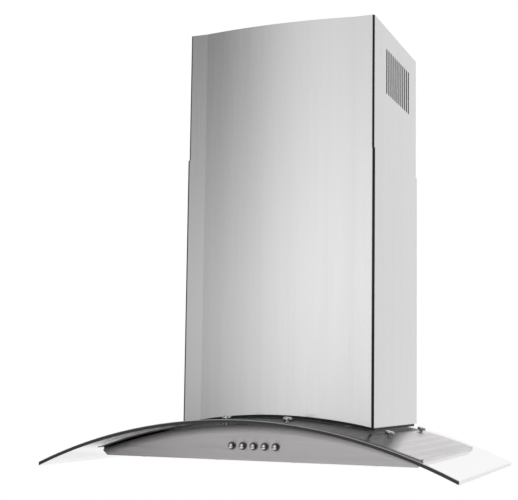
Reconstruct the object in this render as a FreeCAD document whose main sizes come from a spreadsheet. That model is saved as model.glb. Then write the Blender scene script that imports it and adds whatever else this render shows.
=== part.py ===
import FreeCAD, Part
import math
import os
import re
import Sketcher

# Wall-hung range hood with a curved glass canopy. Millimetres; x to the right, y into the wall,
# z up. The wall plane is y = 0 and the flat underside of the canopy body is z = 0.

document = FreeCAD.newDocument("CurvedGlassHood")
sheet = document.addObject("Spreadsheet::Sheet", "Dims")

SIZES = (
    # glass canopy: a plate bent to one arc, notched at the rear for the motor box
    ("glass_width", 750, "across the two tips"),
    ("glass_front", 500, "wall to the front edge"),
    ("glass_rear", 20, "wall to the rear edge"),
    ("glass_thick", 6, ""),
    ("glass_corner", 4, "radius of the front corners in plan"),
    ("glass_bevel", 0.8, "ground arris of the edges"),
    ("arc_radius", 881, "top face of the glass"),
    ("rim_height", 14, "arched plate's underside over the floor, at the body's sides"),
    ("notch_side", 21, "motor box's foot to the rear notch, at the sides"),
    ("notch_gap", 8, "the same at the front"),
    ("notch_corner", 8, ""),
    # glass fixings
    ("cap_radius", 8, "screw cap"),
    ("cap_height", 4, ""),
    ("screw_radius", 3, "shank of the glass screws"),
    ("screw_play", 0.3, "radial play of a shank in its hole"),
    ("washer_thick", 1, ""),
    ("nut_radius", 5.5, ""),
    ("nut_seat", 0.05, "nut's flat face under the arched plate"),
    ("nut_thick", 4, ""),
    ("front_screw_half", 57, ""),
    ("front_screw_gap", 12, "front pair to the face of the front panel"),
    ("side_screw_gap", 23, "chimney to the other screws"),
    ("mid_screw_back", 288, ""),
    ("rear_screw_back", 55, ""),
    # canopy body
    ("plate_overhang", 21, "arched plate in front of the front panel"),
    ("plate_thick", 1, ""),
    ("floor_half", 288, "half width of the flat underside"),
    ("lip_run", 9, "width of the slanted lip at each side"),
    ("lip_rise", 8, "its height"),
    ("pan_thick", 1.2, ""),
    ("panel_space", 21, "lamp rings to the face of the front panel"),
    ("panel_thick", 1.5, ""),
    ("panel_flange", 12, "foot of the front panel on the floor"),
    ("shadow_gap", 4, "front panel to the arched plate"),
    ("air_half", 100, "half width of the air opening in the arched plate"),
    ("air_front", 255, ""),
    ("air_back", 20, ""),
    # push buttons
    ("button_pitch", 20.4, ""),
    ("button_height", 25, "axis over the underside"),
    ("button_radius", 5.2, ""),
    ("button_reach", 9, "cap in front of the panel"),
    ("button_travel", 4, ""),
    ("button_play", 0.15, "radial play in the bezel"),
    ("bezel_wall", 0.9, ""),
    ("bezel_reach", 2, "bezel in front of the panel"),
    ("bezel_lip", 0.8, "bezel's collar beyond its sleeve"),
    ("bezel_depth", 3, "sleeve behind the panel's face"),
    ("stem_radius", 2.5, ""),
    ("stem_play", 0.06, "radial running clearance"),
    ("stem_rest", 1.5, "bore beyond the pressed stem"),
    ("spring_wall", 0.6, ""),
    ("spring_length", 5, ""),
    ("switch_depth", 20, ""),
    ("switch_floor", 2, "block behind the stems' bores"),
    ("switch_height", 24, ""),
    ("switch_margin", 14, "block beyond the last button"),
    ("switch_wall", 4, "its side legs"),
    # chimney
    ("chimney_half", 185, "half width of the lower cover"),
    ("box_space", 40, "motor box to the flat strips of the front"),
    ("strip_width", 37, "flat strip beside the bowed front"),
    ("front_bulge", 12, "bow of the front"),
    ("cover_sheet", 1, "sheet of both covers"),
    ("bend_radius", 5, "outer radius of the folds"),
    ("rear_flange", 18, ""),
    ("nest_gap", 0.8, "play between the two covers"),
    ("lower_top", 556, ""),
    ("upper_top", 800, ""),
    ("upper_length", 490, ""),
    ("seal_height", 4.5, "rubber between glass and chimney"),
    ("seal_width", 4, ""),
    ("slot_count", 12, ""),
    ("slot_pitch", 14.6, ""),
    ("slot_width", 7.5, ""),
    ("slot_length", 88, ""),
    ("slot_drop", 38, "chimney's top to the slots"),
    ("slot_back", 63, "wall to the rearmost slot"),
    # wall bracket of the upper cover
    ("bracket_inset", 28, "chimney's side to the arms' steps"),
    ("bracket_drop", 60, "chimney's top to the bracket's lower edge"),
    ("bracket_tall", 30, ""),
    ("bracket_sheet", 1.5, ""),
    ("bracket_reach", 17, "arm over the cover's rear flange"),
    ("arm_play", 0.3, "arm to the flange"),
    ("bracket_hole", 3.25, "radius of the wall holes"),
    ("bracket_hole_half", 100, ""),
    ("small_screw", 1.7, "shank radius of the sheet screws"),
    ("small_head", 3.4, "head radius of the sheet screws"),
    ("small_head_tall", 1.6, ""),
    ("screw_bite", 1.2, "shank beyond the sheets it joins"),
    ("screw_margin", 1, "head to the edge of its sheet"),
    # brackets of the lower cover
    ("clip_drop", 7, "top of the canopy's arc to the lower edge"),
    ("clip_tall", 18, ""),
    # motor box
    ("box_half", 115, ""),
    ("scroll_room", 4, "scroll's largest radius to the box's front"),
    ("box_rise", 115, "fan's axis to the box's top"),
    ("box_sheet", 1.2, ""),
    ("box_flange", 14, "foot on the arched plate"),
    ("hang_half", 80, "half distance of the hanging holes"),
    ("hang_drop", 38, "box's top to the holes"),
    ("hang_radius", 4, ""),
    # blower
    ("shelf_gap", 12, "scroll's shelf to the wall"),
    ("axis_rise", 112, "top of the canopy's arc to the fan's axis"),
    ("wheel_radius", 80, ""),
    ("wheel_inner", 66, ""),
    ("wheel_half", 52, "half width of the wheel"),
    ("wheel_disc", 2, ""),
    ("wheel_rim", 3, ""),
    ("rim_wrap", 0.5, "rim beyond the blades"),
    ("hub_radius", 12, ""),
    ("hub_half", 9, ""),
    ("blade_count", 32, ""),
    ("blade_thick", 0.9, ""),
    ("scroll_start", 86, "scroll's radius at the tongue"),
    ("scroll_end", 116, "scroll's radius at the outlet"),
    ("scroll_half", 62, "half width of the scroll"),
    ("scroll_wall", 2, ""),
    ("inlet_radius", 68, ""),
    ("tongue_angle", 75, "degrees from the rear, over the axis"),
    ("scroll_flange", 20, "shelf under the motor box's top"),
    ("motor_radius", 44, ""),
    ("motor_start", 11, "disc's centre to the motor"),
    ("motor_length", 44, ""),
    ("shaft_radius", 4, ""),
    ("shaft_play", 0.05, "radial running clearance"),
    ("shaft_end", 2, "shaft beyond the hub, and short of the motor's far face"),
    ("spider_ring", 8, "ring of the motor bracket"),
    ("spider_thick", 2.5, ""),
    ("spider_arm", 12, ""),
    ("capacitor_tall", 46, ""),
    ("capacitor_wide", 30, ""),
    ("capacitor_thick", 16, ""),
    # duct collar
    ("duct_radius", 75, "outside of the collar"),
    ("duct_wall", 1.5, ""),
    ("duct_height", 56, ""),
    ("duct_gap", 15, "wall to the collar"),
    ("collar_flange", 8, ""),
    ("rivet_count", 6, ""),
    ("rivet_radius", 1.6, ""),
    ("flap_height", 20, "pins over the motor box"),
    ("flap_thick", 1, ""),
    ("flap_play", 1, "flap to the collar's wall"),
    ("flap_ledge", 4, "stop ring under the flaps"),
    ("hinge_half", 4, "half distance of the two pins"),
    ("pin_radius", 1.5, ""),
    ("pin_play", 0.05, "radial running clearance"),
    ("knuckle_wall", 1, ""),
    # terminal box and gland
    ("terminal_wide", 60, ""),
    ("terminal_tall", 50, ""),
    ("terminal_thick", 28, ""),
    ("terminal_wall", 1.8, ""),
    ("terminal_back", 60, "wall to the box"),
    ("terminal_drop", 45, "motor box's top to the terminal box's"),
    ("gland_radius", 9, ""),
    ("gland_bore", 4.2, ""),
    ("gland_tall", 20, ""),
    # grease filters
    ("filter_rail", 20, "strip of floor between the filters"),
    ("filter_wide", 238, ""),
    ("filter_deep", 258, ""),
    ("filter_thick", 9, ""),
    ("filter_border", 14, ""),
    ("filter_play", 1, "filter to the opening at the sides and front"),
    ("filter_back", 42, "wall to the filters"),
    ("hinge_play", 2, "filter to the opening at the hinge"),
    ("tab_gap", 0.3, "hinge tab over the floor"),
    ("tab_thick", 1.6, ""),
    ("tab_reach", 8, "tab beyond the opening"),
    ("tab_half", 12, ""),
    ("roll_radius", 1.3, "rolled edge on the hinge's axis"),
    ("roll_play", 0.3, ""),
    ("mesh_thick", 2.4, ""),
    ("pull_half", 20, ""),
    ("pull_drop", 7, ""),
    ("pull_inset", 1.5, "finger pull within the border"),
    ("pull_thick", 1.2, ""),
    ("spring_clip", 0.8, "leaf clips in front of the filters"),
    ("clip_foot", 10, ""),
    ("clip_half", 10, ""),
    ("clip_top", 7.5, "leaf's upper end over the underside"),
    ("clip_gap", 0.4, "leaf clip to the filter"),
    # lamps
    ("lamp_side", 205, ""),
    ("lamp_gap", 18, "filters to the lamps' rings"),
    ("lamp_radius", 28, "housing"),
    ("lamp_play", 0.5, ""),
    ("lamp_tall", 22, ""),
    ("lamp_wall", 2, ""),
    ("lamp_ring", 34, "outer radius of the ring"),
    ("lamp_ring_thick", 1.6, ""),
    ("lamp_glass", 24, "radius of the lens"),
    ("lamp_glass_thick", 2, ""),
)

for row, (alias, number, remark) in enumerate(SIZES, start=1):
    sheet.set(f"A{row}", alias)
    sheet.set(f"B{row}", str(number))
    sheet.set(f"C{row}", remark)
    sheet.setAlias(f"B{row}", alias)
document.recompute()

ALIASES = {alias for alias, number, remark in SIZES}

# Places and sizes that follow from the ones above.
FOLLOWING = {
    "body_half": "floor_half + lip_run",
    "apex_height":
        "rim_height + arc_radius - sqrt((arc_radius - glass_thick - plate_thick)^2 - body_half^2)",
    "axis_height": "apex_height + axis_rise",
    "axis_back": "shelf_gap + scroll_flange + scroll_wall + scroll_end",
    "box_top": "axis_height + box_rise",
    "box_depth": "axis_back + scroll_end + scroll_room",
    "notch_half": "box_half + box_flange + notch_side",
    "notch_front": "box_depth + box_flange + notch_gap",
    "chimney_depth": "box_depth + box_space",
    "bracket_half": "chimney_half - bracket_inset",
    "clip_height": "apex_height - clip_drop",
    "hang_height": "box_top - hang_drop",
    "duct_back": "duct_gap + duct_radius",
    "terminal_height": "box_top - terminal_drop - terminal_tall",
    "filter_front": "filter_back + filter_deep",
    "lamp_back": "filter_front + lamp_gap + lamp_ring",
    "panel_front": "lamp_back + lamp_ring + panel_space",
    "plate_front": "panel_front + plate_overhang",
    "front_screw_back": "panel_front - front_screw_gap",
    "side_screw_half": "chimney_half + side_screw_gap",
}


def tied(text):
    """An expression of size names, written out as cells of the sheet."""

    def cell(match):
        word = match[0]
        if word in FOLLOWING:
            return f"({tied(FOLLOWING[word])})"
        return f"Dims.{word}" if word in ALIASES else word

    return re.sub(r"[a-z_]+", cell, text)


def value(text):
    return float(sheet.evalExpression(tied(text)))


def bind(thing, prop, text):
    thing.setExpression(prop, tied(text))


def vector(x, y, z=0.0):
    return FreeCAD.Vector(x, y, z)


LEFT_RIGHT = (("left", -1), ("right", 1))
UP = (0, 0, 1)
TO_WALL = (0, 1, 0)
TO_ROOM = (0, -1, 0)
TO_RIGHT = (1, 0, 0)


# Arcs of the canopy share one centre line, which runs front to back under the hood.
ARC_CENTRE = "(apex_height - arc_radius)"
GLASS_TOP = "arc_radius"
GLASS_UNDER = "(arc_radius - glass_thick)"
PLATE_UNDER = "(arc_radius - glass_thick - plate_thick)"
PANEL_TOP = "(arc_radius - glass_thick - plate_thick - shadow_gap)"
SEAL_TOP = "(arc_radius + seal_height)"


def arc_height(x, radius):
    """Height, at the distance x from the middle, of the canopy arc of a given radius."""
    return f"({ARC_CENTRE} + sqrt(({radius})^2 - ({x})^2))"


# Sketches and features -------------------------------------------------------------------


def attach(body, name, role, offset):
    """An empty sketch on one of the body's own planes, moved along the plane's normal."""
    sketch = body.newObject("Sketcher::SketchObject", name)
    plane = [item for item in body.Origin.OriginFeatures if item.Role == role][0]
    sketch.AttachmentSupport = [(plane, "")]
    sketch.MapMode = "FlatFace"
    bind(sketch, "AttachmentOffset.Base.z", offset)
    return sketch


def edge_shape(start, end, radius, side):
    """The straight or round edge between two corners; side is 1 when it bows to the left."""
    if radius is None:
        return Part.LineSegment(start, end)
    chord = end - start
    rise = radius - math.sqrt(max(radius ** 2 - (chord.Length / 2) ** 2, 0.0))
    left = vector(-chord.y, chord.x).normalize()
    middle = (start + end) * 0.5 + left * (rise * side)
    return Part.Arc(start, middle, end) if side < 0 else Part.Arc(end, middle, start)


def outline(sketch, corners):
    """Adds one closed loop. A corner is (x, y) or, before a round edge, (x, y, radius, side)."""
    first = len(sketch.Geometry)
    spots = [vector(value(corner[0]), value(corner[1])) for corner in corners]
    count = len(corners)
    near_ends = []
    for index, corner in enumerate(corners):
        start, end = spots[index], spots[(index + 1) % count]
        round_edge = len(corner) > 2
        radius = value(corner[2]) if round_edge else None
        side = corner[3] if round_edge else 0
        edge = sketch.addGeometry(edge_shape(start, end, radius, side), False)
        near_ends.append(2 if side > 0 else 1)
        if round_edge:
            number = sketch.addConstraint(Sketcher.Constraint("Radius", edge, radius))
            bind(sketch, f"Constraints[{number}]", corner[2])
    for index, corner in enumerate(corners):
        edge, following = first + index, first + (index + 1) % count
        far_end = 3 - near_ends[index]
        next_end = near_ends[(index + 1) % count]
        sketch.addConstraint(Sketcher.Constraint("Coincident", edge, far_end, following, next_end))
        for kind, text in (("DistanceX", corner[0]), ("DistanceY", corner[1])):
            distance = Sketcher.Constraint(kind, -1, 1, edge, near_ends[index], value(text))
            bind(sketch, f"Constraints[{sketch.addConstraint(distance)}]", text)


def circle(sketch, x, y, radius):
    round_edge = Part.Circle(vector(value(x), value(y)), vector(*UP), value(radius))
    edge = sketch.addGeometry(round_edge, False)
    for kind, text in (("DistanceX", x), ("DistanceY", y)):
        place = sketch.addConstraint(Sketcher.Constraint(kind, -1, 1, edge, 3, value(text)))
        bind(sketch, f"Constraints[{place}]", text)
    place = sketch.addConstraint(Sketcher.Constraint("Radius", edge, value(radius)))
    bind(sketch, f"Constraints[{place}]", radius)


def rectangle(sketch, left, right, low, high):
    outline(sketch, [(left, low), (right, low), (right, high), (left, high)])


def body_named(label):
    body = document.addObject("PartDesign::Body", label)
    body.Label = label
    return body


def pad(body, sketch, length, back=False):
    """Pads a sketch along its plane's normal, or against it when back is true."""
    feature = body.newObject("PartDesign::Pad", sketch.Name + "_pad")
    feature.Profile = sketch
    feature.Reversed = back
    bind(feature, "Length", length)
    document.recompute()
    return feature


def pocket(body, sketch, length=None, forward=False):
    """Cuts right through, or to a depth; a cut to a depth runs against the plane's normal."""
    before = body.Shape.Volume
    feature = body.newObject("PartDesign::Pocket", sketch.Name + "_cut")
    feature.Profile = sketch
    if length is None:
        feature.Type = "ThroughAll"
        feature.SideType = "Symmetric"
    else:
        feature.Reversed = forward
        bind(feature, "Length", length)
    document.recompute()
    if not body.Shape.Volume < before - 1e-3:
        raise RuntimeError(f"{sketch.Name} cuts nothing from {body.Label}")
    return feature


def revolve(body, sketch, axis):
    feature = body.newObject("PartDesign::Revolution", sketch.Name + "_turn")
    feature.Profile = sketch
    feature.ReferenceAxis = (sketch, [axis])
    feature.Angle = 360
    document.recompute()
    return feature


def dress(body, kind, size, wanted):
    """Rounds or bevels the edges for which wanted(edge) is true."""
    base = body.Tip
    names = [f"Edge{n}" for n, edge in enumerate(base.Shape.Edges, start=1) if wanted(edge)]
    feature = body.newObject(f"PartDesign::{kind}", f"{body.Name}_{kind.lower()}")
    feature.Base = (base, names)
    bind(feature, "Radius" if kind == "Fillet" else "Size", size)
    document.recompute()
    return feature


def upright(edge):
    """True for a straight edge that runs up and down."""
    straight = edge.Curve.TypeId.endswith("Line")
    return straight and abs(edge.tangentAt(edge.FirstParameter).z) > 0.999


def at(edge, x=None, y=None, slack=0.05):
    """True where the edge's middle lies at the given x or y."""
    spot = edge.BoundBox.Center
    return (x is None or abs(abs(spot.x) - x) < slack) and (y is None or abs(spot.y - y) < slack)


def solids(label, shapes):
    """A group of separate solids under one name."""
    piece = document.addObject("Part::Feature", label)
    piece.Label = label
    piece.Shape = shapes[0] if len(shapes) == 1 else Part.makeCompound(shapes)
    return piece


def joined(shapes):
    whole = shapes[0].fuse(shapes[1:]) if len(shapes) > 1 else shapes[0]
    return whole.removeSplitter()


def rod(x, y, z, radius, length, along):
    start = vector(value(x), value(y), value(z))
    return Part.makeCylinder(value(radius), value(length), start, vector(*along))


def block(x_low, x_high, y_low, y_high, z_low, z_high):
    low = vector(value(x_low), value(y_low), value(z_low))
    high = vector(value(x_high), value(y_high), value(z_high))
    return Part.makeBox(high.x - low.x, high.y - low.y, high.z - low.z, low)


def sided_block(side, near, far, y_low, y_high, z_low, z_high):
    """A block between two distances from the middle, on the right or, for side -1, the left."""
    x_low, x_high = (near, far) if side > 0 else (f"-({far})", f"-({near})")
    return block(x_low, x_high, y_low, y_high, z_low, z_high)


# Glass canopy ----------------------------------------------------------------------------


def arched_sheet(body, name, half, front, back, outer, inner):
    """A bent sheet between two arcs of the canopy, from the front to the back."""
    section = attach(body, name, "XZ_Plane", front)
    outline(section, [
        (f"-({half})", arc_height(half, inner), inner, 1),
        (half, arc_height(half, inner)),
        (half, arc_height(half, outer), outer, -1),
        (f"-({half})", arc_height(half, outer)),
    ])
    return pad(body, section, f"({front}) - ({back})", back=True)


def fixing_spots():
    """Where the glass is screwed down: x, and distance from the wall."""
    return [
        (side * value(half), value(back))
        for half, back in (
            ("front_screw_half", "front_screw_back"),
            ("side_screw_half", "mid_screw_back"),
            ("side_screw_half", "rear_screw_back"),
        )
        for side in (-1, 1)
    ]


def across_arc(spot, low, high, radius):
    """A cylinder square to the canopy's arc, between two distances from the arc's centre."""
    x, back = spot
    lean = math.asin(x / value("arc_radius"))
    outward = vector(math.sin(lean), 0, math.cos(lean))
    start = vector(0, -back, value(ARC_CENTRE)) + outward * low
    return Part.makeCylinder(radius, high - low, start, outward)


def drilled(body, label):
    """The body with the glass screws' holes cut through it."""
    radius = value("screw_radius + screw_play")
    low, high = value(f"{PLATE_UNDER} - plate_thick"), value(f"{GLASS_TOP} + glass_thick")
    holes = solids(label + "_holes", [across_arc(spot, low, high, radius) for spot in fixing_spots()])
    cut = document.addObject("Part::Cut", label)
    cut.Base = body
    cut.Tool = holes
    cut.Label = label
    document.recompute()
    return cut


def glass_canopy():
    body = body_named("glass_blank")
    arched_sheet(
        body, "glass_section", "glass_width/2", "glass_front", "glass_rear", GLASS_TOP, GLASS_UNDER
    )
    notch = attach(body, "glass_notch", "XY_Plane", "0")
    rectangle(notch, "-notch_half", "notch_half", "-notch_front", "0")
    pocket(body, notch)
    half, front = value("glass_width/2"), value("glass_front")
    dress(body, "Fillet", "glass_corner", lambda edge: upright(edge) and at(edge, half, -front))
    side, depth = value("notch_half"), value("notch_front")
    notch_round = dress(
        body, "Fillet", "notch_corner", lambda edge: upright(edge) and at(edge, side, -depth)
    )
    notch_round.Label = "notch_fillet"
    inset = value("glass_corner")

    def outer_rim(edge):
        spot = edge.BoundBox.Center
        return not upright(edge) and (abs(spot.x) > half - inset or spot.y < inset - front)

    dress(body, "Chamfer", "glass_bevel", outer_rim)
    return drilled(body, "glass_canopy")


def glass_fixings():
    top, under = value(GLASS_TOP), value(f"{PLATE_UNDER} - nut_seat")
    shank, cap = value("screw_radius"), value("cap_radius")
    bore = shank + value("screw_play")
    washer, nut_thick = value("washer_thick"), value("nut_thick")
    seat = top + washer
    caps, washers, nuts = [], [], []
    for spot in fixing_spots():
        head = across_arc(spot, seat, seat + value("cap_height"), cap)
        rings = [edge for edge in head.Edges if edge.isClosed()]
        crown = max(rings, key=lambda edge: edge.BoundBox.Center.z)
        head = head.makeFillet(value("cap_height*0.6"), [crown])
        caps.append(joined([head, across_arc(spot, under - nut_thick, seat, shank)]))
        hole = across_arc(spot, top - washer, seat + washer, bore)
        washers.append(across_arc(spot, top, seat, cap).cut(hole))
        nut = across_arc(spot, under - nut_thick, under, value("nut_radius"))
        nuts.append(nut.cut(across_arc(spot, under - 2 * nut_thick, seat, shank)))
    return [solids("glass_screws", caps), solids("glass_washers", washers), solids("glass_nuts", nuts)]


# Canopy body -----------------------------------------------------------------------------


def canopy_top_plate():
    body = body_named("plate_blank")
    arched_sheet(body, "plate_section", "body_half", "plate_front", "0", GLASS_UNDER, PLATE_UNDER)
    opening = attach(body, "air_opening", "XY_Plane", "0")
    rectangle(opening, "-air_half", "air_half", "-air_front", "-air_back")
    pocket(body, opening)
    return drilled(body, "canopy_top_plate")


LIP_RUN = "(body_half - floor_half)"
LIP_LENGTH = f"sqrt({LIP_RUN}^2 + lip_rise^2)"
FLOOR_EDGE = f"(floor_half + pan_thick*({LIP_RUN} - {LIP_LENGTH})/lip_rise)"
RIM_INNER = "(body_half - pan_thick)"


def canopy_pan():
    """Floor, slanted lips, side rims and rear wall, folded from one sheet."""
    body = body_named("canopy_pan")
    rim_top = arc_height("body_half", PLATE_UNDER)
    rim_inner_top = arc_height(RIM_INNER, PLATE_UNDER)
    knee = f"(lip_rise + pan_thick*({LIP_LENGTH} - lip_rise)/{LIP_RUN})"
    section = attach(body, "pan_section", "XZ_Plane", "panel_front - panel_thick")
    outline(section, [
        ("-floor_half", "0"),
        ("floor_half", "0"),
        ("body_half", "lip_rise"),
        ("body_half", rim_top),
        (RIM_INNER, rim_inner_top),
        (RIM_INNER, knee),
        (FLOOR_EDGE, "pan_thick"),
        (f"-{FLOOR_EDGE}", "pan_thick"),
        (f"-{RIM_INNER}", knee),
        (f"-{RIM_INNER}", rim_inner_top),
        ("-body_half", rim_top),
        ("-body_half", "lip_rise"),
    ])
    pad(body, section, "panel_front - panel_thick", back=True)
    wall = attach(body, "rear_wall", "XZ_Plane", "0")
    outline(wall, [
        ("-floor_half", "0"),
        ("floor_half", "0"),
        ("body_half", "lip_rise"),
        ("body_half", rim_top, PLATE_UNDER, -1),
        ("-body_half", rim_top),
        ("-body_half", "lip_rise"),
    ])
    pad(body, wall, "pan_thick")
    holes = attach(body, "floor_openings", "XY_Plane", "0")
    near = "-(filter_back - hinge_play - roll_radius - roll_play)"
    far = "-(filter_front + filter_play)"
    inner, outer = "(filter_rail/2)", "(filter_rail/2 + filter_wide + 2*filter_play)"
    rectangle(holes, inner, outer, far, near)
    rectangle(holes, f"-{outer}", f"-{inner}", far, near)
    circle(holes, "lamp_side", "-lamp_back", "lamp_radius + lamp_play")
    circle(holes, "-lamp_side", "-lamp_back", "lamp_radius + lamp_play")
    pocket(body, holes, "pan_thick*2", forward=True)
    return body


def button_places():
    return [(name, index - 2) for index, name in enumerate(("off", "light", "low", "medium", "high"))]


def front_panel():
    body = body_named("front_panel")
    face = attach(body, "panel_face", "XZ_Plane", "panel_front")
    top = arc_height("body_half", PANEL_TOP)
    outline(face, [
        ("-floor_half", "0"),
        ("floor_half", "0"),
        ("body_half", "lip_rise"),
        ("body_half", top, PANEL_TOP, -1),
        ("-body_half", top),
        ("-body_half", "lip_rise"),
    ])
    pad(body, face, "panel_thick", back=True)
    foot = attach(body, "panel_foot", "XZ_Plane", "panel_front")
    rectangle(foot, "-floor_half*0.9", "floor_half*0.9", "pan_thick", "pan_thick + panel_thick")
    pad(body, foot, "panel_thick + panel_flange", back=True)
    bores = attach(body, "panel_bores", "XZ_Plane", "panel_front")
    for name, step in button_places():
        circle(bores, f"{step}*button_pitch", "button_height", "button_radius + button_play + bezel_wall")
    pocket(body, bores, "panel_thick*2")
    return body


PANEL_SCREW_STEPS = (-3, -1, 1, 3)
PANEL_SCREW_BACK = "(panel_front - panel_thick - panel_flange/2)"


def panel_screws():
    """Sheet screws up through the floor into the foot of the front panel."""
    screws = []
    for step in PANEL_SCREW_STEPS:
        x = f"{step}*floor_half/4"
        head = rod(x, f"-{PANEL_SCREW_BACK}", "-small_head_tall", "small_head", "small_head_tall", UP)
        length = "pan_thick + panel_thick + screw_bite"
        shank = rod(x, f"-{PANEL_SCREW_BACK}", "0", "small_screw", length, UP)
        screws.append(joined([head, shank]))
    return solids("panel_screws", screws)


def bored(piece, label, rods):
    """The piece with round holes for its screws."""
    cut = document.addObject("Part::Cut", label)
    cut.Base = piece
    cut.Tool = solids(label + "_bores", rods)
    piece.Label = label + "_blank"
    cut.Label = label
    document.recompute()
    return cut


def panel_screw_bores():
    deep = "2*(pan_thick + panel_thick)"
    return [
        rod(f"{step}*floor_half/4", f"-{PANEL_SCREW_BACK}", "-pan_thick/2", "small_screw", deep, UP)
        for step in PANEL_SCREW_STEPS
    ]


# Push buttons ----------------------------------------------------------------------------

CAP_BACK = "(panel_front - bezel_depth - button_travel*0.4)"
BLOCK_FRONT = f"({CAP_BACK} - spring_length)"
BLOCK_BACK = f"({BLOCK_FRONT} - switch_depth)"
BORE_END = f"({BLOCK_BACK} + switch_floor)"


def push_button(name, step):
    body = body_named(f"button_{name}")
    profile = attach(body, f"button_{name}_profile", "XY_Plane", "0")
    face = "-(panel_front + button_reach)"
    stem_end = f"-({BORE_END} + stem_rest + button_travel)"
    outline(profile, [
        ("0", face),
        ("button_radius - button_radius/3", face, "button_radius/3", -1),
        ("button_radius", f"{face} + button_radius/3"),
        ("button_radius", f"-{CAP_BACK}"),
        ("stem_radius", f"-{CAP_BACK}"),
        ("stem_radius", stem_end),
        ("0", stem_end),
    ])
    revolve(body, profile, "V_Axis")
    bind(body, "Placement.Base.x", f"{step}*button_pitch")
    bind(body, "Placement.Base.z", "button_height")
    return body


def ring_of(x, y, z, outer, inner, length, along):
    return rod(x, y, z, outer, length, along).cut(rod(x, y, z, inner, length, along))


def button_bezels():
    bezels = []
    inner = "(button_radius + button_play)"
    sleeve = f"({inner} + bezel_wall)"
    for name, step in button_places():
        x = f"{step}*button_pitch"
        outer = f"{sleeve} + bezel_lip"
        collar = ring_of(x, "-panel_front", "button_height", outer, inner, "bezel_reach", TO_ROOM)
        middle = -value("panel_front + bezel_reach/2")
        crown = [edge for edge in collar.Edges if edge.BoundBox.YMax < middle]
        rim = max(crown, key=lambda edge: edge.Length)
        collar = collar.makeFillet(value("bezel_lip"), [rim])
        shell = ring_of(x, "-panel_front", "button_height", sleeve, inner, "bezel_depth", TO_WALL)
        bezels.append(joined([collar, shell]))
    return solids("button_bezels", bezels)


def switch_block():
    """Block of push switches with two legs that stand on the back of the front panel."""
    reach = "(2*button_pitch + switch_margin)"
    low, high = "button_height - switch_height/2", "button_height + switch_height/2"
    front, back = f"-{BLOCK_FRONT}", f"-{BLOCK_BACK}"
    panel_back = "-(panel_front - panel_thick)"
    parts = [block(f"-{reach}", reach, front, back, low, high)]
    for name, side in LEFT_RIGHT:
        parts.append(sided_block(side, f"{reach} - switch_wall", reach, panel_back, back, low, high))
    bores = []
    for name, step in button_places():
        x, deep = f"{step}*button_pitch", f"{BLOCK_FRONT} - {BORE_END}"
        bores.append(rod(x, front, "button_height", "stem_radius + stem_play", deep, TO_WALL))
    return solids("switch_block", [joined(parts).cut(bores)])


def button_springs():
    inner = "(stem_radius + 3*stem_play)"
    outer = f"({inner} + spring_wall)"
    springs = []
    for name, step in button_places():
        x, y = f"{step}*button_pitch", f"-{CAP_BACK}"
        springs.append(ring_of(x, y, "button_height", outer, inner, "spring_length", TO_WALL))
    return solids("button_springs", springs)


# Chimney ---------------------------------------------------------------------------------


def cover_path(inset):
    """Half widths and depths of the chimney's section, moved inwards by inset."""
    half = f"(chimney_half - ({inset}))"
    depth = f"(chimney_depth - ({inset}))"
    crease = "(chimney_half - strip_width)"
    bow = f"((({crease})^2 + front_bulge^2)/(2*front_bulge) - ({inset}))"
    return half, depth, crease, bow


def cover_section(body, name, floor, rear, insets, bend, flange):
    """The folded section of a cover: side, strip, bowed front, strip, side, and rear flanges."""
    outer_inset, inner_inset = insets
    half, depth, crease, bow = cover_path(outer_inset)
    half_in, depth_in, crease_in, bow_in = cover_path(inner_inset)
    sheet_width = f"(({inner_inset}) - ({outer_inset}))"
    bend_in = f"(({bend}) - {sheet_width})"
    section = attach(body, name, "XY_Plane", floor)
    foot = f"-({rear})"
    foot_in = f"-({rear}) - {sheet_width}"
    loop = [
        (f"{half} - ({flange})", foot),
        (half, foot),
        (half, f"-{depth} + ({bend})", bend, 1),
        (f"{half} - ({bend})", f"-{depth}"),
        (crease, f"-{depth}", bow, 1),
        (f"-{crease}", f"-{depth}"),
        (f"-{half} + ({bend})", f"-{depth}", bend, 1),
        (f"-{half}", f"-{depth} + ({bend})"),
        (f"-{half}", foot),
        (f"-{half} + ({flange})", foot),
        (f"-{half} + ({flange})", foot_in),
        (f"-{half_in}", foot_in),
        (f"-{half_in}", f"-{depth_in} + {bend_in}", bend_in, -1),
        (f"-{half_in} + {bend_in}", f"-{depth_in}"),
        (f"-{crease_in}", f"-{depth_in}", bow_in, -1),
        (crease_in, f"-{depth_in}"),
        (f"{half_in} - {bend_in}", f"-{depth_in}", bend_in, -1),
        (half_in, f"-{depth_in} + {bend_in}"),
        (half_in, foot_in),
        (f"{half} - ({flange})", foot_in),
    ]
    outline(section, loop)
    return section


def cut_under_arc(body, name, radius):
    """Trims the body's foot to an arc of the canopy."""
    reach = "(chimney_half + notch_side)"
    below = attach(body, name, "XZ_Plane", "0")
    outline(below, [
        (f"-{reach}", "-apex_height"),
        (reach, "-apex_height"),
        (reach, arc_height(reach, radius), radius, -1),
        (f"-{reach}", arc_height(reach, radius)),
    ])
    return pocket(body, below)


def chimney_lower_cover():
    body = body_named("chimney_lower_cover")
    insets = ("0", "cover_sheet")
    section = cover_section(body, "lower_section", "0", "0", insets, "bend_radius", "rear_flange")
    pad(body, section, "lower_top")
    cut_under_arc(body, "lower_foot", SEAL_TOP)
    return body


UPPER_INSET = "(cover_sheet + nest_gap)"
UPPER_INNER = "(2*cover_sheet + nest_gap)"
UPPER_FLOOR = "(upper_top - upper_length)"
SLOT_END = 0.52  # radius of a slot's ends as a share of its width


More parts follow.
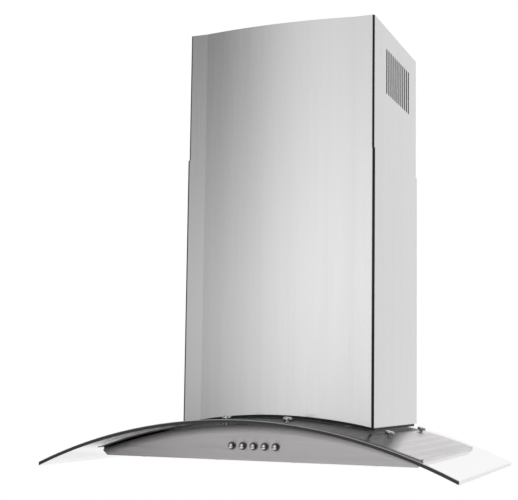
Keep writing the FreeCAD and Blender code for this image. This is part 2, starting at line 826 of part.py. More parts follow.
def chimney_upper_cover():
    body = body_named("chimney_upper_cover")
    bend = f"(bend_radius - {UPPER_INSET} + cover_sheet)"
    insets = (UPPER_INSET, UPPER_INNER)
    section = cover_section(body, "upper_section", UPPER_FLOOR, UPPER_INSET, insets, bend, "rear_flange")
    pad(body, section, "upper_length")
    slot = attach(body, "vent_slot", "YZ_Plane", "0")
    left, right = "-slot_back - slot_width/2", "-slot_back + slot_width/2"
    low = "upper_top - slot_drop - slot_length + slot_width/2"
    high = "upper_top - slot_drop - slot_width/2"
    cap = f"slot_width*{SLOT_END}"
    outline(slot, [(left, low, cap, -1), (right, low), (right, high, cap, -1), (left, high)])
    first = pocket(body, slot)
    row = body.newObject("PartDesign::LinearPattern", "slot_row")
    row.Originals = [first]
    row.Direction = (slot, ["H_Axis"])
    row.Reversed = True
    bind(row, "Occurrences", "slot_count")
    bind(row, "Length", "slot_pitch*(slot_count - 1)")
    body.Tip = row
    document.recompute()
    return body


def chimney_seal():
    """Rubber strip on the glass under the lower cover."""
    body = body_named("chimney_seal")
    insets = ("0", "seal_width")
    bend, toe = "(seal_width + bend_radius)", "(seal_width*1.25)"
    section = cover_section(body, "seal_section", "0", "glass_rear", insets, bend, toe)
    pad(body, section, "apex_height + 2*seal_height")
    cut_under_arc(body, "seal_foot", GLASS_TOP)
    top = attach(body, "seal_top", "XZ_Plane", "0")
    reach = "(chimney_half + notch_side)"
    ceiling = "(apex_height + 3*seal_height)"
    outline(top, [
        (reach, ceiling),
        (f"-{reach}", ceiling),
        (f"-{reach}", arc_height(reach, SEAL_TOP), SEAL_TOP, 1),
        (reach, arc_height(reach, SEAL_TOP)),
    ])
    pocket(body, top)
    return body


BRACKET_LOW = "(upper_top - bracket_drop)"
ARM_BACK = "(cover_sheet*2 + nest_gap + arm_play)"
SCREW_X = "(bracket_half + bracket_reach - small_head - screw_margin)"


def upper_wall_bracket():
    """Strap on the wall whose two stepped arms clamp the upper cover's rear flanges."""
    high = f"{BRACKET_LOW} + bracket_tall"
    middle = f"{BRACKET_LOW} + bracket_tall/2"
    arm_face = f"-{ARM_BACK} - bracket_sheet"
    step, tip = "(bracket_half - bracket_sheet)", "(bracket_half + bracket_reach)"
    parts = [block("-bracket_half", "bracket_half", "-bracket_sheet", "0", BRACKET_LOW, high)]
    holes = []
    for side in (-1, 1):
        parts.append(sided_block(side, step, "bracket_half", arm_face, "0", BRACKET_LOW, high))
        parts.append(sided_block(side, step, tip, arm_face, f"-{ARM_BACK}", BRACKET_LOW, high))
        wall_hole = f"{side}*bracket_hole_half"
        holes.append(rod(wall_hole, "-2*bracket_sheet", middle, "bracket_hole", "3*bracket_sheet", TO_WALL))
        holes.append(rod(f"{side}*{SCREW_X}", arm_face, middle, "small_screw", "2*bracket_sheet", TO_WALL))
    return solids("upper_wall_bracket", [joined(parts).cut(holes)])


def sheet_screw(x, y_seat, z, grip):
    """A screw driven towards the wall; y_seat is where its head rests."""
    head = rod(x, f"{y_seat}", z, "small_head", "small_head_tall", TO_ROOM)
    return joined([head, rod(x, y_seat, z, "small_screw", grip, TO_WALL)])


def bracket_screws():
    middle = f"{BRACKET_LOW} + bracket_tall/2"
    seat = f"-{ARM_BACK} - bracket_sheet"
    grip = f"bracket_sheet + {ARM_BACK} - cover_sheet - nest_gap/2"
    screws = [sheet_screw(f"{side}*{SCREW_X}", seat, middle, grip) for side in (-1, 1)]
    return solids("bracket_screws", screws)


def flange_bores():
    middle = f"{BRACKET_LOW} + bracket_tall/2"
    start, length = f"-2*{ARM_BACK}", f"2*{ARM_BACK}"
    return [rod(f"{side}*{SCREW_X}", start, middle, "small_screw", length, TO_WALL) for side in (-1, 1)]


CLIP_FACE = "(cover_sheet + bracket_sheet)"
CLIP_SCREW_X = "(chimney_half - rear_flange/2)"
CLIP_MIDDLE = "(clip_height + clip_tall/2)"


def cover_brackets():
    """Angles on the motor box's sides that reach the lower cover's rear flanges."""
    angles = []
    low, high = "clip_height", "clip_height + clip_tall"
    reach, leg = "(chimney_half - cover_sheet - nest_gap)", "(box_half + bracket_sheet)"
    for side, bore in zip((-1, 1), cover_bores()):
        strip = sided_block(side, "box_half", reach, f"-{CLIP_FACE}", "-cover_sheet", low, high)
        foot = sided_block(side, "box_half", leg, f"-{CLIP_FACE} - clip_tall", "-cover_sheet", low, high)
        angles.append(joined([strip, foot]).cut(bore))
    return solids("cover_brackets", angles)


def cover_screws():
    screws = []
    for side in (-1, 1):
        x, grip = f"{side}*{CLIP_SCREW_X}", f"{CLIP_FACE} - arm_play"
        screws.append(sheet_screw(x, f"-{CLIP_FACE}", CLIP_MIDDLE, grip))
    return solids("cover_screws", screws)


def cover_bores():
    start, length = f"-2*{CLIP_FACE}", f"3*{CLIP_FACE}"
    bores = []
    for side in (-1, 1):
        bores.append(rod(f"{side}*{CLIP_SCREW_X}", start, CLIP_MIDDLE, "small_screw", length, TO_WALL))
    return bores


# Motor box -------------------------------------------------------------------------------

DUCT_INNER = "(duct_radius - duct_wall)"


INNER_HALF = "(box_half - box_sheet)"
INNER_FRONT = "(box_depth - box_sheet)"
FOOT_TOP = f"({GLASS_UNDER} + box_sheet)"


def motor_box():
    """Sheet steel box, open below, that stands on its foot and hangs on the wall."""
    body = body_named("motor_box")
    plan = attach(body, "box_plan", "XY_Plane", "0")
    rectangle(plan, "-box_half", "box_half", "-box_depth", "0")
    pad(body, plan, "box_top")
    inside = attach(body, "box_inside", "XY_Plane", "0")
    rectangle(inside, f"-{INNER_HALF}", INNER_HALF, f"-{INNER_FRONT}", "-box_sheet")
    pocket(body, inside, "box_top - box_sheet", forward=True)
    cut_under_arc(body, "box_foot", FOOT_TOP)
    outlet = attach(body, "box_outlet", "XY_Plane", "box_top")
    circle(outlet, "0", "-duct_back", DUCT_INNER)
    pocket(body, outlet, "2*box_sheet")
    hangers = attach(body, "hanging_holes", "XZ_Plane", "0")
    circle(hangers, "-hang_half", "hang_height", "hang_radius")
    circle(hangers, "hang_half", "hang_height", "hang_radius")
    pocket(body, hangers, "2*box_sheet", forward=True)
    return body


def motor_box_foot():
    """Arched frame welded under the box's walls and screwed to the arched plate."""
    body = body_named("motor_box_foot")
    half, front = "box_half + box_flange", "box_depth + box_flange"
    arched_sheet(body, "foot_section", half, front, "0", FOOT_TOP, GLASS_UNDER)
    opening = attach(body, "foot_opening", "XY_Plane", "0")
    rectangle(opening, f"-{INNER_HALF}", INNER_HALF, f"-{INNER_FRONT}", "-box_sheet")
    pocket(body, opening, "apex_height + box_flange", forward=True)
    return body


def box_screws():
    """Screws through the box's foot and the arched plate, square to the arc."""
    seat = value(f"{GLASS_UNDER} + box_sheet")
    tip = value(f"{PLATE_UNDER} - screw_bite")
    middle = value("box_half + box_flange/2")
    front = value("box_depth + box_flange/2")
    spots = [(side * middle, back) for side in (-1, 1) for back in (front, front / 2, value("box_flange"))]
    screws = []
    for spot in spots:
        head = across_arc(spot, seat, seat + value("small_head_tall"), value("small_head"))
        screws.append(joined([head, across_arc(spot, tip, seat, value("small_screw"))]))
    return spots, screws


def box_bores(spots):
    low, high = value(f"{PLATE_UNDER} - plate_thick"), value(f"{FOOT_TOP} + box_sheet")
    return [across_arc(spot, low, high, value("small_screw")) for spot in spots]


# Blower ----------------------------------------------------------------------------------


def blower_point(angle, radius):
    """A point of the plane across the fan's axis; the angle runs from the rear upwards."""
    turn = math.radians(angle)
    centre = vector(0, -value("axis_back"), value("axis_height"))
    return centre + vector(0, radius * math.cos(turn), radius * math.sin(turn))


def scroll_prism(grow, depth):
    """The room of the scroll: a spiral in four arcs joined by the upward outlet channel."""
    start, end = value("scroll_start") + grow, value("scroll_end") + grow
    first = value("tongue_angle")
    edges = []
    for quarter in range(4):
        points = []
        for part in (0, 0.5, 1):
            share = (quarter + part) / 4
            points.append(blower_point(first + (360 - first) * share, start + (end - start) * share))
        edges.append(Part.Arc(*points).toShape())
    tongue, rear = blower_point(first, start), blower_point(360, end)
    edges.append(Part.makeLine(rear, tongue))
    spiral = Part.Face(Part.Wire(edges)).extrude(vector(depth, 0, 0))
    left = blower_point(first, value("scroll_start")).y - grow
    axis = value("axis_height")
    tall = value("box_top - box_sheet") - axis
    channel = Part.makeBox(abs(depth), rear.y - left, tall, vector(0, left, axis))
    if depth < 0:
        channel.translate(vector(depth, 0, 0))
    return spiral.fuse(channel)


def blower_housing(label, side):
    """One moulded half of the scroll: a side plate with the inlet, the wall, a top flange."""
    half, wall = value("scroll_half"), value("scroll_wall")
    flange, ceiling = value("scroll_flange"), value("box_top - box_sheet")
    outer = scroll_prism(wall, side * half)
    inner = scroll_prism(0, side * (half - wall))
    low = blower_point(value("tongue_angle"), value("scroll_start")).y - wall - flange
    deep = outer.BoundBox.YMax + flange - low
    shelf = Part.makeBox(half + flange, deep, wall, vector(0, low, ceiling - wall))
    if side < 0:
        shelf.translate(vector(-half - flange, 0, 0))
    shell = outer.fuse(shelf).cut(inner)
    centre = vector(side * (half - 2 * wall), -value("axis_back"), value("axis_height"))
    inlet = Part.makeCylinder(value("inlet_radius"), 3 * wall, centre, vector(side, 0, 0))
    shell = shell.cut(inlet).removeSplitter()
    return solids(label, [shell])


def blower_screw_spots():
    flange = value("scroll_flange")
    x = value("scroll_half") + flange / 2
    tongue = blower_point(value("tongue_angle"), value("scroll_start"))
    front = tongue.y - value("scroll_wall") - flange / 2
    rear = value("scroll_end + scroll_wall - axis_back") + flange / 2
    return [(side * x, y) for side in (-1, 1) for y in (front, rear)]


def blower_screws():
    """Screws down through the motor box into the scroll's flange."""
    screws = []
    for x, y in blower_screw_spots():
        top = value("box_top")
        head = Part.makeCylinder(value("small_head"), value("small_head_tall"), vector(x, y, top))
        deep = value("box_sheet + scroll_wall + screw_bite")
        shank = Part.makeCylinder(value("small_screw"), deep, vector(x, y, top - deep))
        screws.append(joined([head, shank]))
    return solids("blower_screws", screws)


def blower_screw_bores():
    radius, deep = value("small_screw"), value("box_sheet + scroll_wall + 2*screw_bite")
    low = value("box_top") - deep
    return [Part.makeCylinder(radius, 2 * deep, vector(x, y, low)) for x, y in blower_screw_spots()]


def fan_wheel():
    """Squirrel-cage wheel: hub and disc in the middle, a rim at each end, blades between."""
    body = body_named("fan_wheel")
    profile = attach(body, "wheel_profile", "XY_Plane", "0")
    outline(profile, [
        ("-hub_half", "shaft_radius"),
        ("hub_half", "shaft_radius"),
        ("hub_half", "hub_radius"),
        ("wheel_disc/2", "hub_radius"),
        ("wheel_disc/2", "wheel_radius"),
        ("-wheel_disc/2", "wheel_radius"),
        ("-wheel_disc/2", "hub_radius"),
        ("-hub_half", "hub_radius"),
    ])
    revolve(body, profile, "H_Axis")
    blade = attach(body, "blade_section", "YZ_Plane", "0")
    bow = "(wheel_radius - wheel_inner)"
    outline(blade, [
        ("wheel_inner", "0", bow, 1),
        ("wheel_radius", "0"),
        ("wheel_radius", "blade_thick", bow, -1),
        ("wheel_inner", "blade_thick"),
    ])
    vane = body.newObject("PartDesign::Pad", "blade")
    vane.Profile = blade
    vane.SideType = "Symmetric"
    bind(vane, "Length", "2*wheel_half")
    document.recompute()
    cage = body.newObject("PartDesign::PolarPattern", "blades")
    cage.Originals = [vane]
    cage.Axis = (blade, ["N_Axis"])
    cage.Angle = 360
    bind(cage, "Occurrences", "blade_count")
    body.Tip = cage
    document.recompute()
    rims = attach(body, "rim_profile", "XY_Plane", "0")
    for side in ("", "-"):
        inner = f"{side}(wheel_half - wheel_rim)"
        outer = f"{side}wheel_half"
        first, last = (inner, outer) if not side else (outer, inner)
        rectangle(rims, first, last, "wheel_inner - rim_wrap", "wheel_radius + rim_wrap")
    revolve(body, rims, "H_Axis")
    bind(body, "Placement.Base.y", "-axis_back")
    bind(body, "Placement.Base.z", "axis_height")
    return body


def turned(x_start, x_end, outer, inner=None):
    """A plain turned piece on the fan's axis, with a bore or without."""
    length = f"({x_end}) - ({x_start})"
    piece = rod(x_start, "-axis_back", "axis_height", outer, length, TO_RIGHT)
    if inner:
        piece = piece.cut(rod(x_start, "-axis_back", "axis_height", inner, length, TO_RIGHT))
    return piece


MOTOR_END = "(motor_start + motor_length)"


def motor():
    can = turned("motor_start", MOTOR_END, "motor_radius", "shaft_radius + shaft_play")
    rims = [edge for edge in can.Edges if edge.Length > 6 * value("motor_radius")]
    return solids("motor", [can.makeFillet(value("motor_radius/10"), rims)])


def motor_shaft():
    shaft = turned("-hub_half - shaft_end", f"{MOTOR_END} - shaft_end", "shaft_radius")
    return solids("motor_shaft", [shaft])


def motor_bracket():
    """Ring on the scroll's inlet with three arms that carry the motor."""
    face, far = "scroll_half", "scroll_half + spider_thick"
    ring_outer = "inlet_radius + spider_ring"
    ring = turned(face, far, ring_outer, "inlet_radius")
    boss = turned(MOTOR_END, far, "motor_radius/2", "shaft_radius + shaft_end")
    disc = turned(face, far, f"{ring_outer} - spider_ring/4")
    thick, wide = value("spider_thick"), value("spider_arm")
    corner = vector(value(face), value("motor_radius/2") - thick, -wide / 2)
    arms = []
    for number in range(3):
        arm = Part.makeBox(thick, value("inlet_radius"), wide, corner)
        arm.rotate(vector(0, 0, 0), vector(1, 0, 0), 120 * number + 90)
        arm.translate(vector(0, -value("axis_back"), value("axis_height")))
        arms.append(arm.common(disc))
    return solids("motor_bracket", [joined([ring, boss] + arms)])


def capacitor():
    wall = "(box_half - box_sheet)"
    low = "(box_top - 2*capacitor_tall)"
    near, far = "capacitor_wide - box_depth", "2*capacitor_wide - box_depth"
    can = block(f"{wall} - capacitor_thick", wall, near, far, low, f"{low} + capacitor_tall")
    uprights = [edge for edge in can.Edges if upright(edge)]
    return solids("capacitor", [can.makeFillet(value("capacitor_thick/5"), uprights)])


# Duct collar and flaps ---------------------------------------------------------------------

PIN_HEIGHT = "(box_top + flap_height)"


def outlet_collar():
    body = body_named("outlet_collar")
    profile = attach(body, "collar_profile", "XZ_Plane", "0")
    ledge = f"{PIN_HEIGHT} - knuckle_wall - pin_radius - 2*pin_play - flap_thick*0.3"
    outline(profile, [
        (DUCT_INNER, "box_top"),
        ("duct_radius + collar_flange", "box_top"),
        ("duct_radius + collar_flange", "box_top + duct_wall"),
        ("duct_radius", "box_top + duct_wall"),
        ("duct_radius", "box_top + duct_height"),
        (DUCT_INNER, "box_top + duct_height"),
        (DUCT_INNER, ledge),
        (f"{DUCT_INNER} - flap_ledge", ledge),
        (f"{DUCT_INNER} - flap_ledge", f"{ledge} - duct_wall"),
        (DUCT_INNER, f"{ledge} - duct_wall"),
    ])
    revolve(body, profile, "V_Axis")
    holes = attach(body, "pin_holes", "YZ_Plane", "0")
    circle(holes, "hinge_half", PIN_HEIGHT, "pin_radius")
    circle(holes, "-hinge_half", PIN_HEIGHT, "pin_radius")
    pocket(body, holes)
    relief = attach(body, "ledge_relief", "YZ_Plane", "0")
    room = "(hinge_half + pin_radius + knuckle_wall + flap_play*1.5)"
    rectangle(relief, f"-{room}", room, f"{ledge} - 2*duct_wall", ledge)
    cut = body.newObject("PartDesign::Pocket", "relief_cut")
    cut.Profile = relief
    cut.SideType = "Symmetric"
    bind(cut, "Length", f"2*{DUCT_INNER}")
    document.recompute()
    bind(body, "Placement.Base.y", "-duct_back")
    return body


def collar_rivet_spots():
    ring = value("duct_radius + collar_flange/2")
    count = round(value("rivet_count"))
    turns = [math.radians(360 / count * (n + 0.5)) for n in range(count)]
    return [(ring * math.cos(turn), ring * math.sin(turn) - value("duct_back")) for turn in turns]


def collar_rivets():
    """Rivets through the collar's flange and the top of the motor box."""
    top, low = value("box_top + duct_wall"), value("box_top - box_sheet")
    rivets = []
    for x, y in collar_rivet_spots():
        head = Part.makeCylinder(value("rivet_radius*1.8"), value("rivet_radius*0.6"), vector(x, y, top))
        shank = Part.makeCylinder(value("rivet_radius"), top - low, vector(x, y, low))
        rivets.append(joined([head, shank]))
    return solids("collar_rivets", rivets)


def rivet_bores():
    low, radius = value("box_top - 2*box_sheet"), value("rivet_radius")
    tall = value("2*box_sheet + 2*duct_wall")
    return [Part.makeCylinder(radius, tall, vector(x, y, low)) for x, y in collar_rivet_spots()]


def damper_pins():
    pins = []
    for side in (-1, 1):
        y = f"-duct_back + {side}*hinge_half"
        pins.append(rod("-duct_radius", y, PIN_HEIGHT, "pin_radius", "2*duct_radius", TO_RIGHT))
    return solids("damper_pins", pins)


def damper_flap(label, side):
    """Half a disc with a knuckle that turns on its pin."""
    radius = value(f"{DUCT_INNER} - flap_play")
    thick = value("flap_thick")
    knuckle = value("pin_radius + pin_play + knuckle_wall")
    axis_y, axis_z = value(f"-duct_back + {side}*hinge_half"), value(PIN_HEIGHT)
    low = axis_z - knuckle
    disc = Part.makeCylinder(radius, thick, vector(0, value("-duct_back"), low))
    half = Part.makeBox(2 * radius, 2 * radius, thick, vector(-radius, axis_y, low))
    if side < 0:
        half.translate(vector(0, -2 * radius, 0))
    reach = math.sqrt(radius ** 2 - (value("hinge_half") + knuckle) ** 2)
    along, hole = vector(*TO_RIGHT), knuckle - value("knuckle_wall")
    sleeve = Part.makeCylinder(knuckle, 2 * reach, vector(-reach, axis_y, axis_z), along)
    bore = Part.makeCylinder(hole, 2 * radius, vector(-radius, axis_y, axis_z), along)
    return solids(label, [joined([disc.common(half), sleeve]).cut(bore)])


# Terminal box and gland --------------------------------------------------------------------


TERMINAL_TOP = "(terminal_height + terminal_tall)"
GLAND_X = "(box_half + terminal_thick/2)"
GLAND_Y = "(terminal_back + terminal_wide/2)"


def gland_rod(radius, z, length):
    return rod(GLAND_X, f"-{GLAND_Y}", z, radius, length, UP)


def terminal_box():
    """Moulded box on the side of the motor box, open towards it."""
    far = "(box_half + terminal_thick)"
    front, back = "-(terminal_back + terminal_wide)", "-terminal_back"
    case = block("box_half", far, front, back, "terminal_height", TERMINAL_TOP)
    outer = [edge for edge in case.Edges if edge.BoundBox.XMin > value("box_half + terminal_thick/2")]
    case = case.makeFillet(value("terminal_thick/9"), outer)
    y_low, y_high = f"{front} + terminal_wall", f"{back} - terminal_wall"
    z_low, z_high = "terminal_height + terminal_wall", f"{TERMINAL_TOP} - terminal_wall"
    hollow = block("box_half", f"{far} - terminal_wall", y_low, y_high, z_low, z_high)
    hole = gland_rod("gland_radius*0.7", f"{TERMINAL_TOP} - 2*terminal_wall", "3*terminal_wall")
    return solids("terminal_box", [case.cut([hollow, hole])])


def cable_gland():
    """Hexagonal body with a domed nut; its shank sits in the terminal box's top."""
    radius = value("gland_radius")
    centre = vector(value(GLAND_X), -value(GLAND_Y), value(TERMINAL_TOP))
    turns = [math.radians(60 * number) for number in range(7)]
    hexagon = [centre + vector(radius * math.cos(turn), radius * math.sin(turn)) for turn in turns]
    base = Part.Face(Part.makePolygon(hexagon)).extrude(vector(0, 0, value("gland_tall*0.4")))
    nut = gland_rod("gland_radius*0.85", f"{TERMINAL_TOP} + gland_tall*0.4", "gland_tall*0.6")
    crown = [edge for edge in nut.Edges if edge.BoundBox.ZMin > value(f"{TERMINAL_TOP} + gland_tall*0.9")]
    nut = nut.makeFillet(value("gland_radius*0.25"), crown)
    shank = gland_rod("gland_radius*0.7", f"{TERMINAL_TOP} - terminal_wall", "terminal_wall")
    bore = gland_rod("gland_bore", f"{TERMINAL_TOP} - 2*terminal_wall", "gland_tall + 4*terminal_wall")
    return solids("cable_gland", [joined([shank, base, nut]).cut(bore)])


# Grease filters ----------------------------------------------------------------------------

HINGE_Y = "(filter_back - hinge_play)"
HINGE_Z = "(pan_thick + tab_gap)"


def filter_span(side):
    """Left and right faces of a filter."""
    near, far = "(filter_rail/2 + filter_play)", "(filter_rail/2 + filter_play + filter_wide)"
    return (near, far) if side > 0 else (f"-{far}", f"-{near}")


def filter_frame(label, side):
    """Folded aluminium frame; its two hinge tabs lie on the floor behind it and roll at the edge."""
    left, right = filter_span(side)
    front, back = "-filter_front", "-filter_back"
    body = body_named(label)
    plan = attach(body, f"{label}_plan", "XY_Plane", "0")
    rectangle(plan, left, right, front, back)
    inner = (f"{left} + filter_border", f"{right} - filter_border")
    rectangle(plan, *inner, f"{front} + filter_border", f"{back} - filter_border")
    pad(body, plan, "filter_thick")
    tabs = attach(body, f"{label}_tabs", "XY_Plane", HINGE_Z)
    starts = [f"({left} + {share}*filter_wide - tab_half)" for share in (0.2, 0.8)]
    for start in starts:
        tip = f"tab_reach - {HINGE_Y}"
        rectangle(tabs, start, f"{start} + 2*tab_half", f"{back} - tab_thick", tip)
    pad(body, tabs, "tab_thick")
    for number, start in enumerate(starts):
        roll = attach(body, f"{label}_roll_{number}", "YZ_Plane", start)
        circle(roll, f"-{HINGE_Y}", HINGE_Z, "roll_radius")
        pad(body, roll, "2*tab_half")
    return body


def filter_mesh(label, side):
    left, right = filter_span(side)
    low = "(filter_thick/2 - mesh_thick/2)"
    front, back = "filter_border - filter_front", "-filter_back - filter_border"
    x_low, x_high = f"{left} + filter_border", f"{right} - filter_border"
    return solids(label, [block(x_low, x_high, front, back, low, f"{low} + mesh_thick")])


def filter_handle(label, side):
    """Bent finger pull riveted under the front border."""
    left, right = filter_span(side)
    middle = f"(({left} + {right})/2)"
    front, back = "(pull_inset - filter_front)", "(filter_border - pull_inset - filter_front)"
    x_low, x_high = f"{middle} - pull_half", f"{middle} + pull_half"
    plate = block(x_low, x_high, front, back, "-pull_thick", "0")
    grip = block(x_low, x_high, f"{back} - pull_thick", back, "-pull_drop", "0")
    return solids(label, [joined([plate, grip])])


def filter_clips():
    """Leaf springs on the floor whose upright ends press on the filters' front faces."""
    clips = []
    nose = "-filter_front - clip_gap"
    for name, side in LEFT_RIGHT:
        left, right = filter_span(side)
        for share in (0.25, 0.75):
            middle = f"({left} + {share}*filter_wide)"
            low, high = f"{middle} - clip_half", f"{middle} + clip_half"
            foot = block(low, high, f"{nose} - clip_foot", nose, "pan_thick", "pan_thick + spring_clip")
            leaf = block(low, high, f"{nose} - spring_clip", nose, "pan_thick", "clip_top")
            clips.append(joined([foot, leaf]))
    return solids("filter_clips", clips)


# Lamps -------------------------------------------------------------------------------------


def lamp_profile(label, corners):
    """Two turned lamp pieces; corners are radius and height."""
    pieces = []
    for name, side in LEFT_RIGHT:
        spots = [vector(value(radius), 0, value(height)) for radius, height in corners]
        face = Part.Face(Part.makePolygon(spots + spots[:1]))
        turned_piece = face.revolve(vector(0, 0, 0), vector(*UP), 360)
        turned_piece.translate(vector(side * value("lamp_side"), -value("lamp_back"), 0))
        pieces.append(turned_piece)
    return solids(label, pieces)


def lamps():
    lens_low = "-lamp_ring_thick/2"
    lens_top = "(-lamp_ring_thick/2 + lamp_glass_thick)"
    housing = lamp_profile("lamp_housings", [
        ("lamp_radius", "0"),
        ("lamp_radius", "lamp_tall"),
        ("0", "lamp_tall"),
        ("0", "lamp_tall - lamp_wall"),
        ("lamp_radius - lamp_wall", "lamp_tall - lamp_wall"),
        ("lamp_radius - lamp_wall", "0"),
    ])
    ring = lamp_profile("lamp_rings", [
        ("lamp_glass", "-lamp_ring_thick"),
        ("lamp_ring", "-lamp_ring_thick"),
        ("lamp_ring", "0"),
        ("lamp_glass", "0"),
    ])
    lens = lamp_profile("lamp_lenses", [
        ("0", lens_low),
        ("lamp_glass", lens_low),
        ("lamp_glass", "0"),
        ("lamp_radius - lamp_wall", "0"),
        ("lamp_radius - lamp_wall", lens_top),
        ("0", lens_top),
    ])
    return [housing, ring, lens]


# The whole hood ----------------------------------------------------------------------------


def all_pieces():
    screw_spots, screws = box_screws()
    plate_bores = box_bores(screw_spots)
    pieces = [glass_canopy()] + glass_fixings()
    pieces += [
        bored(canopy_top_plate(), "canopy_top_plate", plate_bores),
        bored(canopy_pan(), "canopy_pan", panel_screw_bores()),
        bored(front_panel(), "front_panel", panel_screw_bores()),
        panel_screws(),
    ]
    pieces += [push_button(name, step) for name, step in button_places()]
    pieces += [button_bezels(), switch_block(), button_springs()]
    pieces += [
        chimney_seal(),
        bored(chimney_lower_cover(), "chimney_lower_cover", cover_bores()),
        bored(chimney_upper_cover(), "chimney_upper_cover", flange_bores()),
        upper_wall_bracket(),
        bracket_screws(),
        cover_brackets(),
        cover_screws(),
    ]
    pieces += [
        bored(motor_box(), "motor_box", blower_screw_bores() + rivet_bores()),
        bored(motor_box_foot(), "motor_box_foot", plate_bores),
        solids("motor_box_screws", screws),
        bored(blower_housing("blower_housing_left", -1), "blower_housing_left", blower_screw_bores()),
        bored(blower_housing("blower_housing_right", 1), "blower_housing_right", blower_screw_bores()),
        blower_screws(),
        fan_wheel(),
        motor(),
        motor_shaft(),
        motor_bracket(),
        capacitor(),
    ]
    pieces += [
        bored(outlet_collar(), "outlet_collar", rivet_bores()),
        collar_rivets(),
        damper_pins(),
        damper_flap("damper_flap_front", -1),
        damper_flap("damper_flap_rear", 1),
    ]
    pieces += [terminal_box(), cable_gland()]
    for name, side in LEFT_RIGHT:
        pieces.append(filter_frame(f"filter_frame_{name}", side))
        pieces.append(filter_mesh(f"filter_mesh_{name}", side))
        pieces.append(filter_handle(f"filter_handle_{name}", side))
    return pieces + [filter_clips()] + lamps()


pieces = all_pieces()
document.recompute()

for item in document.Objects:
    if {"Invalid", "Error"} & set(item.State):
        raise RuntimeError(f"{item.Label} failed: {item.State}")
for piece in pieces:
    if piece.Shape.isNull() or not piece.Shape.isValid() or not piece.Shape.Solids:
        raise RuntimeError(f"{piece.Label} has no valid shape")

os.makedirs("parts", exist_ok=True)
for piece in pieces:
    piece.Shape.exportStep(os.path.join("parts", piece.Label + ".step"))
    print(f"{piece.Label:24s} {len(piece.Shape.Solids):2d} solids {piece.Shape.Volume / 1000:9.2f} cm3")
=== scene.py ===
import math

import bmesh
import bpy
from mathutils import Matrix, Vector


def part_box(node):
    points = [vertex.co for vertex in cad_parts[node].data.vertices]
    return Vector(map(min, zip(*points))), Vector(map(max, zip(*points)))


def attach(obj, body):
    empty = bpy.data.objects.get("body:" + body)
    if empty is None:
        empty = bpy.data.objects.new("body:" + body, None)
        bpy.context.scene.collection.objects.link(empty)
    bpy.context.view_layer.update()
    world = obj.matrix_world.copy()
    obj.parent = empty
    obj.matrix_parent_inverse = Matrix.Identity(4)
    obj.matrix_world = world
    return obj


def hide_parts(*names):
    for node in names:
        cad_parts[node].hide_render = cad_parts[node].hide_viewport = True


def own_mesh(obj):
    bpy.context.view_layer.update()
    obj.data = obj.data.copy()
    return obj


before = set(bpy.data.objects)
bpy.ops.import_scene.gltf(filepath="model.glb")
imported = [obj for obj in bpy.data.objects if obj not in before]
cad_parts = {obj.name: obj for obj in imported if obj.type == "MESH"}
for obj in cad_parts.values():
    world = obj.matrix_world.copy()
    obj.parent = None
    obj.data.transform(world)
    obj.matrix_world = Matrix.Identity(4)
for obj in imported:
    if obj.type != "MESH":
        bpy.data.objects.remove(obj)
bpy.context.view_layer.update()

# Studio --------------------------------------------------------------------------------------
# The camera stands a step to the right of the hood, just above the canopy, and looks slightly
# up. A small shift of the lens keeps the upright folds of the chimney nearly upright.

CAMERA_PLACE = Vector((0.7187, -2.1498, 0.1285))
CAMERA_YAW, CAMERA_PITCH, CAMERA_ROLL = (math.radians(turn) for turn in (22.25, 5.06, 0.77))
PICTURE_WIDTH = 518
FOCAL_PIXELS = 1084.8
HORIZON_SHIFT = 40
forward = Vector((
    -math.sin(CAMERA_YAW) * math.cos(CAMERA_PITCH),
    math.cos(CAMERA_YAW) * math.cos(CAMERA_PITCH),
    math.sin(CAMERA_PITCH),
))
level_right = Vector((math.cos(CAMERA_YAW), math.sin(CAMERA_YAW), 0))
level_up = level_right.cross(forward)
camera_right = math.cos(CAMERA_ROLL) * level_right + math.sin(CAMERA_ROLL) * level_up
camera_up = math.cos(CAMERA_ROLL) * level_up - math.sin(CAMERA_ROLL) * level_right
lens = bpy.data.cameras.new("studio_camera")
lens.lens = FOCAL_PIXELS / PICTURE_WIDTH * lens.sensor_width
lens.shift_y = HORIZON_SHIFT / PICTURE_WIDTH
camera = bpy.data.objects.new("studio_camera", lens)
camera_turn = Matrix((camera_right, camera_up, -forward)).transposed()
camera.matrix_world = Matrix.Translation(CAMERA_PLACE) @ camera_turn.to_4x4()
bpy.context.scene.collection.objects.link(camera)
bpy.context.scene.camera = camera
bpy.context.scene.view_settings.view_transform = "Standard"


def put(node, socket, what):
    """Links what to the socket if it is another node's output, and sets the socket otherwise."""
    if isinstance(what, bpy.types.NodeSocket):
        node.id_data.links.new(what, node.inputs[socket])
    else:
        node.inputs[socket].default_value = what


def add(tree, kind, sockets=None, **settings):
    """A new node with its settings and its sockets."""
    node = tree.nodes.new("ShaderNode" + kind)
    for name, setting in settings.items():
        setattr(node, name, setting)
    for socket, what in (sockets or {}).items():
        put(node, socket, what)
    return node


def calc(tree, operation, *terms):
    """The result of one sum in a node tree."""
    node = add(tree, "Math", dict(enumerate(terms)), operation=operation)
    return node.outputs[0]


def spread(tree, share, low, high, start=0.0, end=1.0):
    """share from start to end, turned into low to high and held there beyond."""
    limits = {"Value": share, "From Min": start, "From Max": end, "To Min": low, "To Max": high}
    return add(tree, "MapRange", limits).outputs[0]


def ramp(tree, share, stops):
    """Brightness or colour that follows share through the stops (place, brightness or colour)."""
    node = add(tree, "ValToRGB", {0: share})
    while len(node.color_ramp.elements) < len(stops):
        node.color_ramp.elements.new(0.5)
    for element, (place, tone) in zip(node.color_ramp.elements, stops):
        element.position = place
        element.color = (*(tone if isinstance(tone, tuple) else (tone,) * 3), 1)
    return node.outputs[0]


